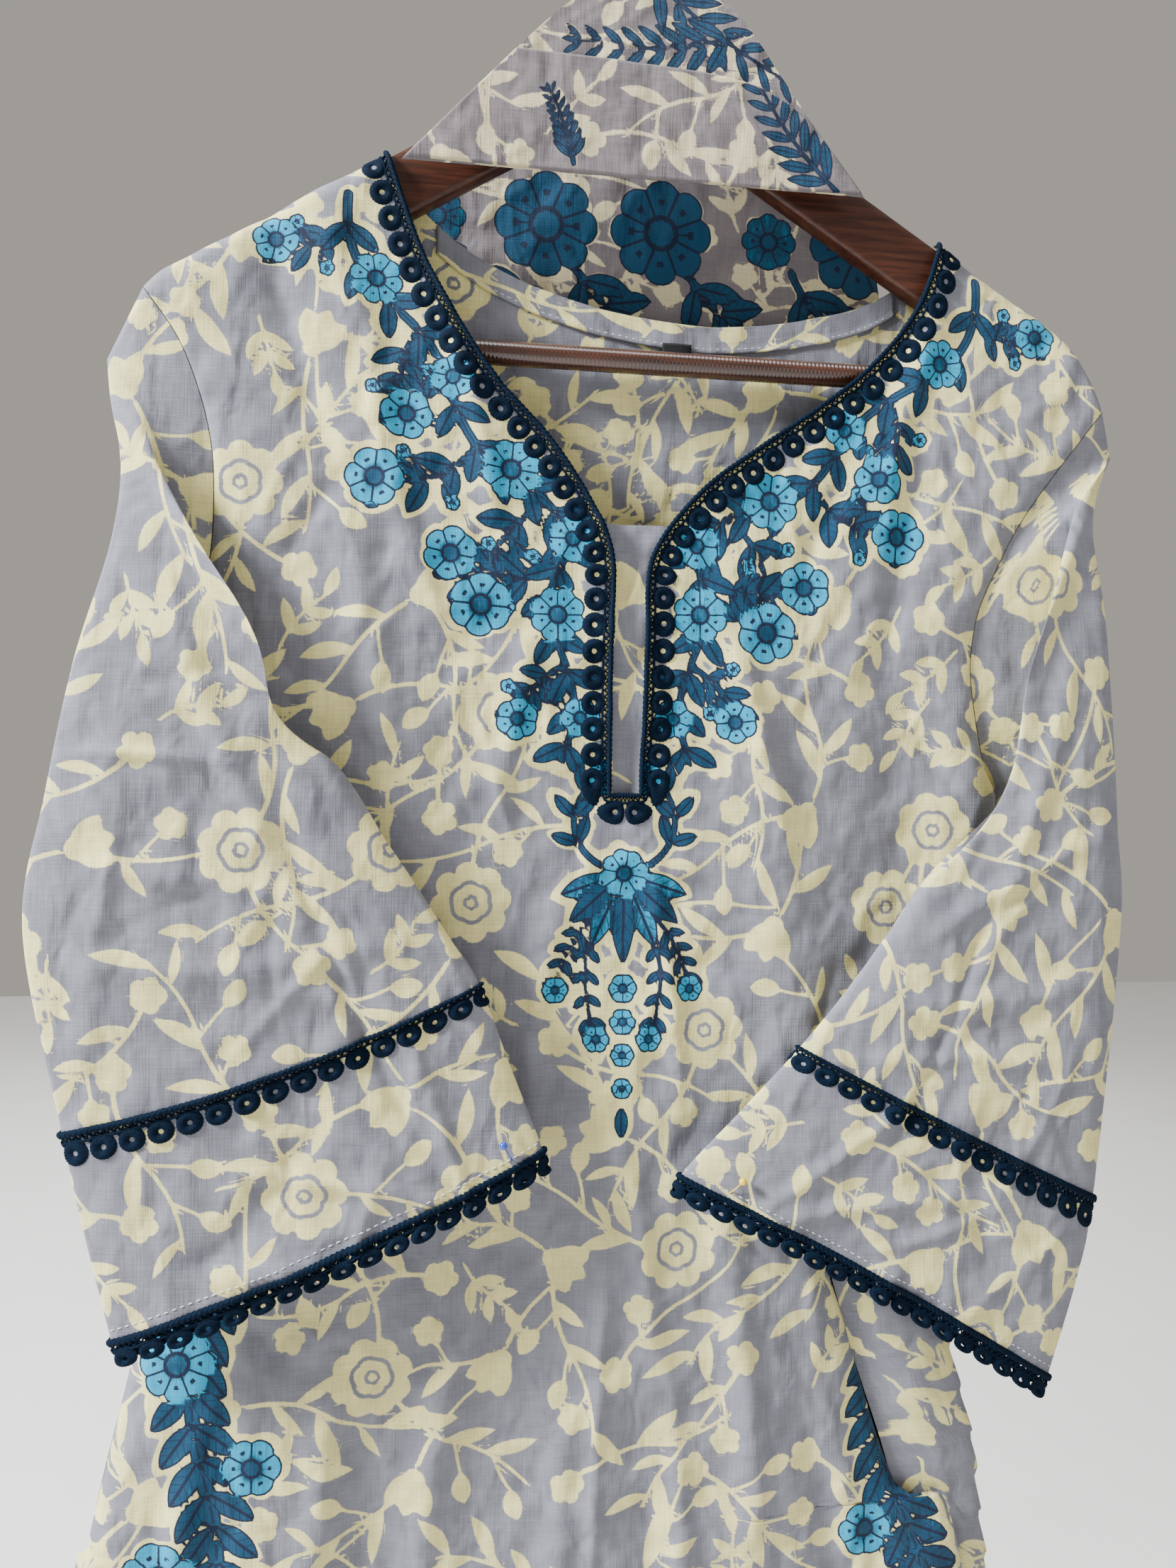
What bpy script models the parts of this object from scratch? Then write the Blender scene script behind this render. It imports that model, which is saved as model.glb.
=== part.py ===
"""A kameez and its dupatta on a wooden clothes hanger.

Metres, +Z up. The front faces -Y, and left and right are as seen from the front.
The origin is the inner top of the hook, where the hanger hangs on its rail.
The tables and sizes below are in millimetres; MM turns them into metres.
Each cloth piece is a grid of points worked out from the tables, with a wall put on it by Solidify.
"""

from collections import namedtuple
from math import atan, cos, pi, radians, sin

import bpy
import numpy as np

MM = 0.001

# Cloth
WALL = 1.5
FACING_WALL = 1.2
LACE_WALL = 1.2
LACE_GAP = 1.0
ARMHOLE_GAP = 1.8
FOLDED_WALL = 2.0
SEAM_GAP = 0.8
LAYER_GAP = 0.35
EDGE_ROUND = 22.0

# Hanger
HANGER_HALF_SPAN = 209.5
HANGER_TOP_Z = -87.0
HANGER_FALL = 0.61
HANGER_THICKNESS = 11.0
HANGER_CORNER = 4.4
HANGER_HEIGHT = 31.0
HANGER_CROWN_X = 6.0
HANGER_CENTRE_DROP = 4.0
HANGER_TIP_ROUND = 16.0
HANGER_LOBE_ROUND = 8.0
HANGER_LOBE_INNER_ROUND = 5.0
HANGER_LOBE_Z = -250.0
HANGER_TIP_DROP = 0.03
HANGER_TIP_START = 205.0
BAR_DIAMETER = 11.0
BAR_Z = -238.0
BAR_HALF_LENGTH = 179.0
WIRE_DIAMETER = 3.8
HOOK_INNER_RADIUS = 21.1
HOOK_STEM_TOP_Z = -57.0
HOOK_BEND_REACH = 16.0
HOOK_JOIN_ANGLE = radians(-48)
HOOK_END_ANGLE = radians(212)

# Cloth over the hanger: the mid line of the wall
OVER_RADIUS = 8.7
OVER_RISE = 2.2

# How far each panel comes to stand out below the hanger, from one height to another
FRONT_FULLNESS = 4.2
FRONT_FULL_TOP_Z = -190.0
FRONT_FULL_END_Z = -330.0
BACK_FULLNESS = 6.0
BACK_FULL_TOP_Z = -240.0
BACK_FULL_END_Z = -420.0

# Kameez
HEM_Z = -1165.0
PLACKET_TOP_Z = -316.0
PLACKET_END_Z = -462.0
PLACKET_LEFT_X = -27.0
PLACKET_RIGHT_X = 33.0
FACING_WIDTH = 12.5
FACING_DROP = 0.6
LACE_WIDTH = 14.0
LACE_PITCH = 13.5
LACE_STEPS = 3
LACE_SCALLOP = 0.3
NECK_LACE_START_ROW = 0.3
NECK_LACE_GAP = 0.6
NECK_CORNER_STEP = 3.0
NECK_LACE_EDGE = 0.04
HEM_LACE_ROW = 9.92

# Dupatta
DUPATTA_HEM_Z = -985.0
GATHER_LEFT_X = 2.3
GATHER_RIGHT_X = 27.7
GATHER_BOTTOM_Z = -93.6
GATHER_TOP_Z = -68.7
GATHER_HALF_LENGTH = 12.0
GATHER_PLEATS = 7
GATHER_PLEAT_DEPTH = 0.06
GATHER_END_ROUND = 0.16
GATHER_ALONG = (-1, -0.94, -0.7, 0, 0.7, 0.94, 1)
FALL_COLUMNS = 12
BAND_ROWS = 4

# The front panel, row by row. Its seam edges are the armholes and the side seams; its inner
# edges are the neckline and the slit, and below the slit they bound the middle column of cloth.
# The turns are how far in front of the seam plane the cloth lies at each seam edge.
FrontRow = namedtuple(
    "FrontRow",
    "place seam_l_x seam_l_z edge_l_x edge_l_z edge_r_x edge_r_z seam_r_x seam_r_z turn_l turn_r steps",
)
FRONT_ROWS = [
    FrontRow("shoulder seam", -216, -220.4, -112, -153.3, 146, -174.1, 232, -248.4, 9.0, 9.0, 0),
    FrontRow("below the shoulder", -200, -243, -97, -195, 134, -208, 205, -283, 9.0, 9.0, 2),
    FrontRow("upper neckline", -190, -268, -80, -227, 112, -236, 188, -307, 9.0, 9.0, 1),
    FrontRow("middle neckline", -185, -291, -61, -254, 88, -256, 176, -330, 9.0, 9.0, 1),
    FrontRow("lower neckline", -184, -312, -40, -276, 59, -277, 167, -352, 9.0, 9.0, 1),
    FrontRow("neckline foot", -185, -335, -21, -303, 30, -300, 164, -378, 9.0, 9.0, 1),
    FrontRow("slit top", -189, -362, -9, -331, 8, -331, 168, -404, 7.0, 7.5, 2),
    FrontRow("slit middle", -196, -388, -9, -368, 6, -368, 174, -424, 4.0, 4.0, 1),
    FrontRow("underarm", -204, -410, -9, -405, 5, -405, 181, -445, 0.6, 0.6, 1),
    FrontRow("slit end", -202, -450, -9, -438, 4, -438, 163, -490, 0.6, 1.4, 1),
    FrontRow("waist", -193, -540, -9, -540, 4, -540, 118, -570, 0.6, 4.0, 3),
    FrontRow("above the hip", -203, -630, -9, -630, 4, -630, 97, -640, 0.6, 5.0, 2),
    FrontRow("hip", -216, -690, -9, -690, 4, -690, 108, -690, 0.6, 5.0, 2),
    FrontRow("side slit top", -231, -757, -9, -757, 4, -757, 130, -757, 0.6, 5.0, 2),
    FrontRow("side slit opening", -233, -770, -9, -770, 4, -770, 140, -769, 0.9, 9.0, 1),
    FrontRow("below the side slit", -241, -810, -9, -810, 4, -810, 166, -806, 2.0, 12.0, 1),
    FrontRow("hem", -262, HEM_Z, -9, HEM_Z, 4, HEM_Z, 215, HEM_Z, 6.0, 12.0, 7),
]
UNDERARM_ROW = 8
SLIT_END_ROW = 9
WAIST_ROW = 10
SHOULDER_BOW_END_ROW = 3
FRONT_NEAR_SHOULDER = (0, 0.025, 0.085, 0.17, 0.27)
FRONT_ACROSS = (0, 0.02, 0.06, 0.13, 0.24, 0.38, 0.53, 0.69, 0.85, 1)

# The back panel's right side comes round to the front below the underarm, where its edge lies
# forward of the seam plane and its middle bulges further.
BackSide = namedtuple("BackSide", "z outline_x edge_x forward bulge")
BACK_SIDES = [
    BackSide(-248, 232, 232, 0, 0),
    BackSide(-283, 205, 205, 0, 0),
    BackSide(-330, 176, 176, 0, 0),
    BackSide(-378, 164, 164, 0, 0),
    BackSide(-424, 174, 174, 0, 0),
    BackSide(-445, 181, 181, 0, 0),
    BackSide(-490, 170, 163, 1.0, 0.5),
    BackSide(-570, 158, 118, 4.0, 3.0),
    BackSide(-640, 157, 97, 5.0, 3.5),
    BackSide(-690, 161, 108, 5.0, 3.0),
    BackSide(-757, 177, 130, 4.6, 0.8),
    BackSide(-770, 178, 133, 3.6, 0.2),
    BackSide(-812, 184, 144, 3.0, 0),
    BackSide(-950, 205, 185, 2.0, 0),
    BackSide(HEM_Z, 236, 228, 1.0, 0),
]
NeckPoint = namedtuple("NeckPoint", "x z")
BACK_NECK = [
    NeckPoint(-112, -154),
    NeckPoint(-94, -174),
    NeckPoint(-69, -192),
    NeckPoint(-31, -206.5),
    NeckPoint(6, -213.5),
    NeckPoint(40, -215.5),
    NeckPoint(87, -209),
    NeckPoint(117, -199.5),
    NeckPoint(135, -188),
    NeckPoint(146, -175),
]
SHOULDER_COLUMNS = 4
NECK_COLUMNS = 12
NECK_MIDDLE = 5
FACING_ROWS = 7
BACK_SAMPLES = 160

# Soft folds. Height is outwards from the body, and a fold that keeps its end runs on to the hem.
Fold = namedtuple("Fold", "place top_x top_z end_x end_z width height keeps_end")
FRONT_FOLDS = [
    Fold("bust to right waist", 38, -350, 96, -610, 17, 3.2, 0),
    Fold("hollow beside the right sleeve", 138, -350, 118, -560, 20, -4.0, 0),
    Fold("left chest", -120, -300, -95, -560, 26, 2.4, 0),
    Fold("left of the slit", -55, -450, -62, HEM_Z, 24, -2.6, 1),
    Fold("centre", -9, -500, -6, HEM_Z, 12, 2.8, 1),
    Fold("left skirt", -150, -600, -176, HEM_Z, 28, 3.4, 1),
    Fold("left skirt hollow", -110, -640, -118, HEM_Z, 20, -4.0, 1),
    Fold("right skirt", 52, -600, 92, HEM_Z, 24, 3.4, 1),
    Fold("right skirt hollow", 88, -660, 150, HEM_Z, 18, -3.6, 1),
]
BACK_FOLDS = [
    Fold("left back", -120, -330, -150, HEM_Z, 30, 4.0, 1),
    Fold("left back hollow", -70, -380, -85, HEM_Z, 24, -3.0, 1),
    Fold("back centre", -5, -360, 0, HEM_Z, 26, 3.6, 1),
    Fold("right back hollow", 50, -380, 65, HEM_Z, 24, -3.0, 1),
    Fold("right back", 105, -330, 130, HEM_Z, 30, 4.0, 1),
]

# Each sleeve is a flattened tube swung inwards over the front. Outer, fold and inner are the
# three places that its front passes, the fold being the ridge where it turns under towards the
# armhole. Mid depths are those of the tube's middle plane, half is half its thickness, ridge is
# how far the fold stands forward, and bow lowers the middle of the row.
SleeveRow = namedtuple(
    "SleeveRow",
    "place outer_x outer_z fold_x fold_z inner_x inner_z mid_outer mid_inner half ridge bow",
)
SLEEVE_LEFT = [
    SleeveRow("cap", -231, -252, -207, -284, -215, -407, 0, 0, 11.0, 4, 0),
    SleeveRow("under the cap", -228, -272, -205, -297, -217, -413, -4, -5, 10.5, 5, 0),
    SleeveRow("above the underarm", -222, -300, -186, -332, -212, -420, -11, -15, 9.5, 6, 0),
    SleeveRow("underarm", -224, -336, -160, -374, -182, -426, -19, -24, 7.5, 4, 0),
    SleeveRow("upper arm", -236, -385, -182, -405, -133, -424, -25, -28, 7.2, 0, 0),
    SleeveRow("middle arm", -246, -440, -177, -451, -106, -462, -27, -28.5, 7.0, 0, 2),
    SleeveRow("elbow", -254, -497, -166, -498, -81, -500, -27, -28.5, 7.0, 0, 4),
    SleeveRow("upper trim", -238, -579, -155, -549, -68, -520, -27, -28.5, 7.0, 0, 7),
    SleeveRow("below the trim", -229, -620, -143, -588, -54, -556, -27, -28.5, 7.0, 0, 5),
    SleeveRow("hem", -217, -668, -129, -630, -39, -594, -27, -28.5, 7.0, 0, 4),
    SleeveRow("hanging edge", -213, -684, -125, -646, -35, -610, -27, -28.5, 7.0, 0, 4),
]
SLEEVE_RIGHT = [
    SleeveRow("cap", 239, -270, 214, -296, 194, -443, 0, 0, 11.0, 4, 0),
    SleeveRow("under the cap", 230, -288, 207, -311, 196, -450, -4, -5, 10.5, 5, 0),
    SleeveRow("above the underarm", 224, -310, 195, -340, 192, -457, -11, -15, 9.5, 6, 0),
    SleeveRow("underarm", 226, -350, 178, -388, 176, -462, -19, -24, 7.5, 4, 0),
    SleeveRow("upper arm", 227, -402, 182, -430, 140, -470, -25, -28, 7.2, 0, 0),
    SleeveRow("middle arm", 229, -452, 172, -477, 117, -499, -27, -28.5, 7.0, 0, 0),
    SleeveRow("elbow", 231, -500, 165, -516, 99, -523, -27, -28.5, 7.0, 0, 0),
    SleeveRow("upper trim", 219, -622, 148, -586, 76, -550, -27, -28.5, 7.0, 0, 1),
    SleeveRow("below the trim", 211, -662, 129, -622, 47, -580, -27, -28.5, 7.0, 0, -2),
    SleeveRow("hem", 197, -707, 110, -658, 21, -607, -27, -28.5, 7.0, 0, -5),
    SleeveRow("hanging edge", 193, -722, 106, -673, 18, -622, -27, -28.5, 7.0, 0, -5),
]
TRIM_ROW = 8
SLEEVE_STEPS = (1, 1, 2, 2, 2, 2, 3, 2, 2)
SLEEVE_SIDE_STEPS = 9
SLEEVE_FOLD_STEP = 4
SLEEVE_EDGE_CLOSENESS = 0.55
SLEEVE_RIDGE_WIDTH = 0.16

# The dupatta's two falls: their side edges, and how far they lie from the hanger's plane.
FallRow = namedtuple("FallRow", "place left_x left_z right_x right_z depth")
DUPATTA_FRONT = [
    FallRow("top", 4, -69, 29, -69.5, 13.2),
    FallRow("spreading", -14, -76, 37, -76, 14.0),
    FallRow("spread", -35, -87, 49, -87, 14.5),
    FallRow("middle", -72, -126, 79, -128, 15.5),
    FallRow("bottom fold", -106, -162, 106, -161, 15.0),
]
DUPATTA_BACK = [
    FallRow("top", 4, -69, 29, -69.5, 13.2),
    FallRow("spreading", -14, -76, 37, -76, 15.0),
    FallRow("spread", -40, -92, 54, -92, 19.0),
    FallRow("behind the neck", -110, -160, 112, -160, 23.5),
    FallRow("full width", -134, -215, 132, -215, 25.0),
    FallRow("waist", -138, -540, 130, -540, 27.0),
    FallRow("hem", -142, DUPATTA_HEM_Z, 126, DUPATTA_HEM_Z, 28.0),
]
DUPATTA_FRONT_STEPS = (2, 2, 3, 3)
DUPATTA_BACK_STEPS = (2, 1, 3, 2, 6, 6)
DUPATTA_BACK_FOLDS = [
    Fold("left", -40, -200, -98, DUPATTA_HEM_Z, 22, 3.0, 1),
    Fold("fold edge", -2, -150, -8, DUPATTA_HEM_Z, 16, 3.0, 1),
    Fold("right", 50, -200, 78, DUPATTA_HEM_Z, 24, 3.0, 1),
]
BandPoint = namedtuple("BandPoint", "across top_x top_z end_x end_z")
DUPATTA_BAND = [
    BandPoint(0.0, -56, -109, -104, -160.5),
    BandPoint(0.35, -10, -110, -31, -161),
    BandPoint(0.7, 47, -114, 42, -161),
    BandPoint(0.85, 66, -121, 74, -160.5),
    BandPoint(1.0, 82, -133, 104, -159.5),
]

LABEL_X = 16.0
LABEL_WIDTH = 14.0
LABEL_DROP = 7.0

Finish = namedtuple("Finish", "name colour roughness metallic")
PRINTED_COTTON = Finish("printed_cotton", (0.36, 0.35, 0.37, 1), 0.85, 0)
DUPATTA_COTTON = Finish("dupatta_cotton", (0.34, 0.32, 0.32, 1), 0.85, 0)
NAVY_LACE = Finish("navy_lace", (0.006, 0.016, 0.035, 1), 0.9, 0)
BLACK_TAPE = Finish("black_tape", (0.01, 0.01, 0.012, 1), 0.8, 0)
BROWN_WOOD = Finish("brown_wood", (0.03, 0.014, 0.01, 1), 0.25, 0)
STEEL_WIRE = Finish("steel_wire", (0.6, 0.6, 0.6, 1), 0.3, 1)


def clear_scene():
    for obj in list(bpy.data.objects):
        bpy.data.objects.remove(obj, do_unlink=True)


def material(finish):
    found = bpy.data.materials.get(finish.name)
    if found:
        return found
    made = bpy.data.materials.new(finish.name)
    made.use_nodes = True
    shader = made.node_tree.nodes["Principled BSDF"]
    shader.inputs["Base Color"].default_value = finish.colour
    shader.inputs["Roughness"].default_value = finish.roughness
    shader.inputs["Metallic"].default_value = finish.metallic
    return made


def add_object(name, data, finish):
    data.materials.append(material(finish))
    obj = bpy.data.objects.new(name, data)
    bpy.data.collections["kameez_on_hanger"].objects.link(obj)
    return obj


def through(knots, values, at):
    """A smooth curve through a column of a table: cubic pieces, with the mean slope at each knot."""
    knots = np.asarray(knots, float)
    values = np.asarray(values, float)
    steps = np.diff(values) / np.diff(knots)
    slopes = np.concatenate([steps[:1], (steps[:-1] + steps[1:]) / 2, steps[-1:]])
    at = np.clip(at, knots[0], knots[-1])
    i = np.clip(np.searchsorted(knots, at, side="right") - 1, 0, len(knots) - 2)
    span = knots[i + 1] - knots[i]
    t = (at - knots[i]) / span
    rising = t * t * (3 - 2 * t)
    leaving = t * (1 - t) ** 2 * span * slopes[i]
    arriving = t * t * (t - 1) * span * slopes[i + 1]
    return values[i] * (1 - rising) + values[i + 1] * rising + leaving + arriving


def column(rows, name):
    return np.array([getattr(row, name) for row in rows], float)


def eased(at, start, end):
    t = np.clip((np.asarray(at, float) - start) / (end - start), 0, 1)
    return t * t * (3 - 2 * t)


def rounded(distance, radius):
    """0 to 1 as a quarter circle, over the given distance from an edge."""
    t = np.clip(np.asarray(distance, float) / radius, 0, 1)
    return np.sqrt(1 - (1 - t) ** 2)


def row_places(steps):
    """Row numbers with the given count of equal steps from each row to the next."""
    places = [np.arange(n) / n + i for i, n in enumerate(steps)]
    return np.concatenate(places + [[len(steps)]])


def cloth(name, grid, finish, wall=WALL, closed=False, slit_rows=0, slit_column=None):
    """A grid of points as a wall of cloth. closed joins the last column to the first, and the
    slit leaves out one column of faces down to a row."""
    rows, columns = grid.shape[:2]
    across = columns if closed else columns - 1
    faces = [
        (
            r * columns + c,
            (r + 1) * columns + c,
            (r + 1) * columns + (c + 1) % columns,
            r * columns + (c + 1) % columns,
        )
        for r in range(rows - 1)
        for c in range(across)
        if not (c == slit_column and r < slit_rows)
    ]
    mesh = bpy.data.meshes.new(name)
    mesh.from_pydata((grid.reshape(-1, 3) * MM).tolist(), [], faces)
    mesh.shade_smooth()
    obj = add_object(name, mesh, finish)
    solid = obj.modifiers.new("Wall", "SOLIDIFY")
    solid.thickness = wall * MM
    solid.offset = 0
    return obj


def points(x, y, z):
    return np.stack(np.broadcast_arrays(x, y, z), axis=-1).astype(float)


def fold_depth(folds, x, z):
    """The sum of the folds at a place: a bell across each fold, eased in at its top."""
    total = np.zeros(np.broadcast(x, z).shape)
    for fold in folds:
        along = (fold.top_z - z) / (fold.top_z - fold.end_z)
        middle = fold.top_x + (fold.end_x - fold.top_x) * along
        fade = eased(along, 0, 0.3) * (1 if fold.keeps_end else eased(along, 1, 0.7))
        total = total + fold.height * fade * np.exp(-(((x - middle) / fold.width) ** 2))
    return total


def shoulder_z(x):
    """Height of the cloth's mid line along the hanger's top, drooping past the arms' tips."""
    past = np.maximum(np.abs(x) - HANGER_TIP_START, 0)
    return HANGER_TOP_Z + OVER_RISE - HANGER_FALL * np.abs(x) - HANGER_TIP_DROP * past**2


def over_hanger(x, z):
    """Depth of cloth that rounds over the hanger's arm and then hangs straight."""
    below = (shoulder_z(x) - z) * cos(atan(HANGER_FALL))
    return SEAM_GAP / 2 + (OVER_RADIUS - SEAM_GAP / 2) * rounded(below, OVER_RADIUS)


def front_depth(x, z):
    """How far the front's mid line lies from the hanger's plane."""
    fullness = FRONT_FULLNESS * eased(z, FRONT_FULL_TOP_Z, FRONT_FULL_END_Z)
    return over_hanger(x, z) + fullness + fold_depth(FRONT_FOLDS, x, z)


def beside_front(x, z, out):
    """Points moved out of the front along its own slope, or in behind it where out is negative."""
    step = 0.2
    depth = front_depth(x, z)
    lean_x = (front_depth(x + step, z) - depth) / step
    lean_z = (front_depth(x, z - step) - depth) / step
    steepness = np.sqrt(1 + lean_x**2 + lean_z**2)
    return points(x - out * lean_x / steepness, -depth - out / steepness, z + out * lean_z / steepness)


def back_depth(x, z):
    fullness = BACK_FULLNESS * eased(z, BACK_FULL_TOP_Z, BACK_FULL_END_Z)
    return over_hanger(x, z) + fullness + fold_depth(BACK_FOLDS, x, z)


ROW_NUMBERS = np.arange(len(FRONT_ROWS))


def front_row(name, at):
    return through(ROW_NUMBERS, column(FRONT_ROWS, name), at)


def front_half(side, at, across):
    """Points of the left (l) or right (r) half. across runs from the seam, 0, to the inner edge, 1."""
    seam_x = front_row(f"seam_{side}_x", at)
    seam_z = front_row(f"seam_{side}_z", at)
    edge_x = front_row(f"edge_{side}_x", at)
    edge_z = front_row(f"edge_{side}_z", at)
    turn = front_row(f"turn_{side}", at)
    turned_round = eased(at, UNDERARM_ROW, WAIST_ROW) if side == "r" else 0 * at
    seam_x = seam_x - (WALL / 2 + SEAM_GAP) * turned_round
    x = seam_x + (edge_x - seam_x) * across
    top_seam_x, top_edge_x = (getattr(FRONT_ROWS[0], f"{end}_{side}_x") for end in ("seam", "edge"))
    top_x = top_seam_x + (top_edge_x - top_seam_x) * across
    top_straight = shoulder_z(top_seam_x) + (shoulder_z(top_edge_x) - shoulder_z(top_seam_x)) * across
    shoulder_bow = shoulder_z(top_x) - top_straight
    z = seam_z + (edge_z - seam_z) * across + shoulder_bow * eased(at, SHOULDER_BOW_END_ROW, 0)
    z = np.where(at == 0, shoulder_z(x), z)
    inner = front_depth(x, z)
    outer = np.minimum(turn, over_hanger(x, z))
    depth = outer + (inner - outer) * rounded(np.hypot(x - seam_x, z - seam_z), EDGE_ROUND)
    return points(x, -depth, z)


def front_row_places():
    below = row_places([row.steps for row in FRONT_ROWS[1:]])
    return np.concatenate([FRONT_NEAR_SHOULDER, below[below > FRONT_NEAR_SHOULDER[-1]]])


def kameez_front():
    at = front_row_places()[:, None]
    across = np.array(FRONT_ACROSS)[None, :]
    left = front_half("l", at, across)
    right = front_half("r", at, across)[:, ::-1]
    grid = np.concatenate([left, right], axis=1)
    slit_rows = int(np.sum(front_row_places() < SLIT_END_ROW))
    cloth("kameez_front", grid, PRINTED_COTTON, slit_rows=slit_rows, slit_column=len(FRONT_ACROSS) - 1)


def seam_turn(side, z):
    """How far the front lies from the seam plane at its seam edge, by height."""
    heights = column(FRONT_ROWS, f"seam_{side}_z")
    return through(-heights, column(FRONT_ROWS, f"turn_{side}"), -z)


def back_section(z):
    """The back panel's line at one height: x and y from the left seam to the right one."""
    left_x = float(through(-column(FRONT_ROWS, "seam_l_z"), column(FRONT_ROWS, "seam_l_x"), -z))
    sides_z = -column(BACK_SIDES, "z")
    outline_x = float(through(sides_z, column(BACK_SIDES, "outline_x"), -z))
    edge_x = float(through(sides_z, column(BACK_SIDES, "edge_x"), -z))
    forward = float(through(sides_z, column(BACK_SIDES, "forward"), -z))
    bulge = float(through(sides_z, column(BACK_SIDES, "bulge"), -z))
    underarm_z, waist_z = (FRONT_ROWS[row].seam_r_z for row in (UNDERARM_ROW, WAIST_ROW))
    round_front = float(eased(z, underarm_z, waist_z))
    x = np.linspace(left_x, outline_x, BACK_SAMPLES)
    inner = back_depth(x, z)
    turn_left = np.minimum(float(seam_turn("l", z)), over_hanger(x, z))
    turn_right = SEAM_GAP / 2 if round_front > 0 else np.minimum(float(seam_turn("r", z)), over_hanger(x, z))
    y = turn_left + (inner - turn_left) * rounded(x - left_x, EDGE_ROUND)
    y = turn_right + (y - turn_right) * rounded(outline_x - x, EDGE_ROUND)
    if round_front == 0:
        return x, y
    end_x = edge_x + (WALL / 2 + SEAM_GAP) * round_front
    b = np.linspace(0, 1, BACK_SAMPLES)[1:]
    front_x = outline_x - (outline_x - end_x) * b
    front_y = -forward * rounded(b, 0.5) - bulge * np.sin(pi * b) ** 2
    front_y = front_y + SEAM_GAP / 2 * (1 - round_front)
    return np.concatenate([x, front_x]), np.concatenate([y, front_y])


def back_point(u, z):
    """The point a fraction u along the back's section at height z."""
    x, y = back_section(z)
    length = np.concatenate([[0], np.cumsum(np.hypot(np.diff(x), np.diff(y)))])
    at = u * length[-1]
    return np.interp(at, length, x), np.interp(at, length, y), z


def back_columns():
    """Fractions across the top: closer at the seams, with columns on and beside each neck corner."""
    left = FRONT_ROWS[0].seam_l_x
    width = FRONT_ROWS[0].seam_r_x - left
    neck_start = (BACK_NECK[0].x - left) / width
    neck_end = (BACK_NECK[-1].x - left) / width
    eased_in = neck_start * np.linspace(0, 1, SHOULDER_COLUMNS + 1) ** 1.5
    eased_out = 1 - (1 - neck_end) * np.linspace(1, 0, SHOULDER_COLUMNS + 2) ** 1.5
    even = np.linspace(0, 1, NECK_COLUMNS + 1)
    neck = neck_start + (neck_end - neck_start) * (even + (1 - np.cos(pi * even)) / 2) / 2
    corner = NECK_CORNER_STEP / width
    neck = np.concatenate([neck[:1], [neck_start + corner], neck[1:-1], [neck_end - corner], neck[-1:]])
    return np.concatenate([eased_in[:-1], neck, eased_out[1:]])


def back_top_z(u):
    """Top edge of the back: the shoulders' line, and the neck curve between them."""
    x = FRONT_ROWS[0].seam_l_x + (FRONT_ROWS[0].seam_r_x - FRONT_ROWS[0].seam_l_x) * u
    if BACK_NECK[0].x < x < BACK_NECK[-1].x:
        return float(through(column(BACK_NECK, "x"), column(BACK_NECK, "z"), x))
    return float(shoulder_z(x))


BACK_DOWN = np.concatenate(
    [[0, 0.001, 0.0038, 0.008, 0.0115], np.linspace(0.022, 0.25, 13), np.linspace(0.3, 1, 13)]
)


def back_grid():
    return np.array(
        [
            [back_point(u, back_top_z(u) + (HEM_Z - back_top_z(u)) * v) for u in back_columns()]
            for v in BACK_DOWN
        ]
    )


def kameez_back():
    cloth("kameez_back", back_grid(), PRINTED_COTTON)


def back_neck_facing():
    """The turned strip inside the back neck, made from the back's own points, moved in."""
    first, last = SHOULDER_COLUMNS + 2, SHOULDER_COLUMNS + NECK_COLUMNS
    neck = back_grid()[:FACING_ROWS, first : last + 1]
    drops = neck[0, :, 2] - neck[:, :, 2]
    below = FACING_DROP + FACING_WIDTH * np.array([0, 0.5, 1])
    grid = np.zeros((len(below), neck.shape[1], 3))
    for c in range(neck.shape[1]):
        for axis in range(3):
            grid[:, c, axis] = np.interp(below, drops[:, c], neck[:, c, axis])
    grid[:, :, 1] -= WALL / 2 + LAYER_GAP + FACING_WALL / 2
    cloth("back_neck_facing", grid, PRINTED_COTTON, wall=FACING_WALL)


def size_label():
    """A plain tab sewn under the facing."""
    top = BACK_NECK[NECK_MIDDLE].z - FACING_DROP - FACING_WIDTH - LAYER_GAP
    x, z = np.meshgrid([LABEL_X, LABEL_X + LABEL_WIDTH], [top, top - LABEL_DROP])
    inwards = WALL / 2 + LAYER_GAP + FACING_WALL / 2
    cloth("size_label", points(x, back_depth(x, z) - inwards, z), BLACK_TAPE, wall=1.0)


def slit_placket():
    """The panel behind the slit, made from the front's points, moved in."""
    x, z = np.meshgrid(
        np.linspace(PLACKET_LEFT_X, PLACKET_RIGHT_X, 7),
        np.linspace(PLACKET_TOP_Z, PLACKET_END_Z, 9),
    )
    inwards = WALL / 2 + LAYER_GAP + FACING_WALL / 2
    cloth("slit_placket", beside_front(x, z, -inwards), PRINTED_COTTON, wall=FACING_WALL)


def armhole(side, count):
    """The armhole's loop just outside the panels: down the front edge and up the back edge."""
    at = np.linspace(0, UNDERARM_ROW, count + 1)
    front = front_half("l" if side < 0 else "r", at[:, None], np.zeros((1, 1)))[:, 0]
    z = front[::-1, 2]
    x = front[::-1, 0]
    back = points(x, -front[::-1, 1], z)
    loop = np.concatenate([front, back[1:-1]])
    ahead = np.gradient(front[:, [0, 2]], axis=0)
    ahead = ahead / np.linalg.norm(ahead, axis=1)[:, None]
    away = np.stack([ahead[:, 1], -ahead[:, 0]], -1) * -side * ARMHOLE_GAP
    away = np.concatenate([away, away[::-1][1:-1]])
    loop[:, 0] += away[:, 0]
    loop[:, 2] += away[:, 1]
    return loop


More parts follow.
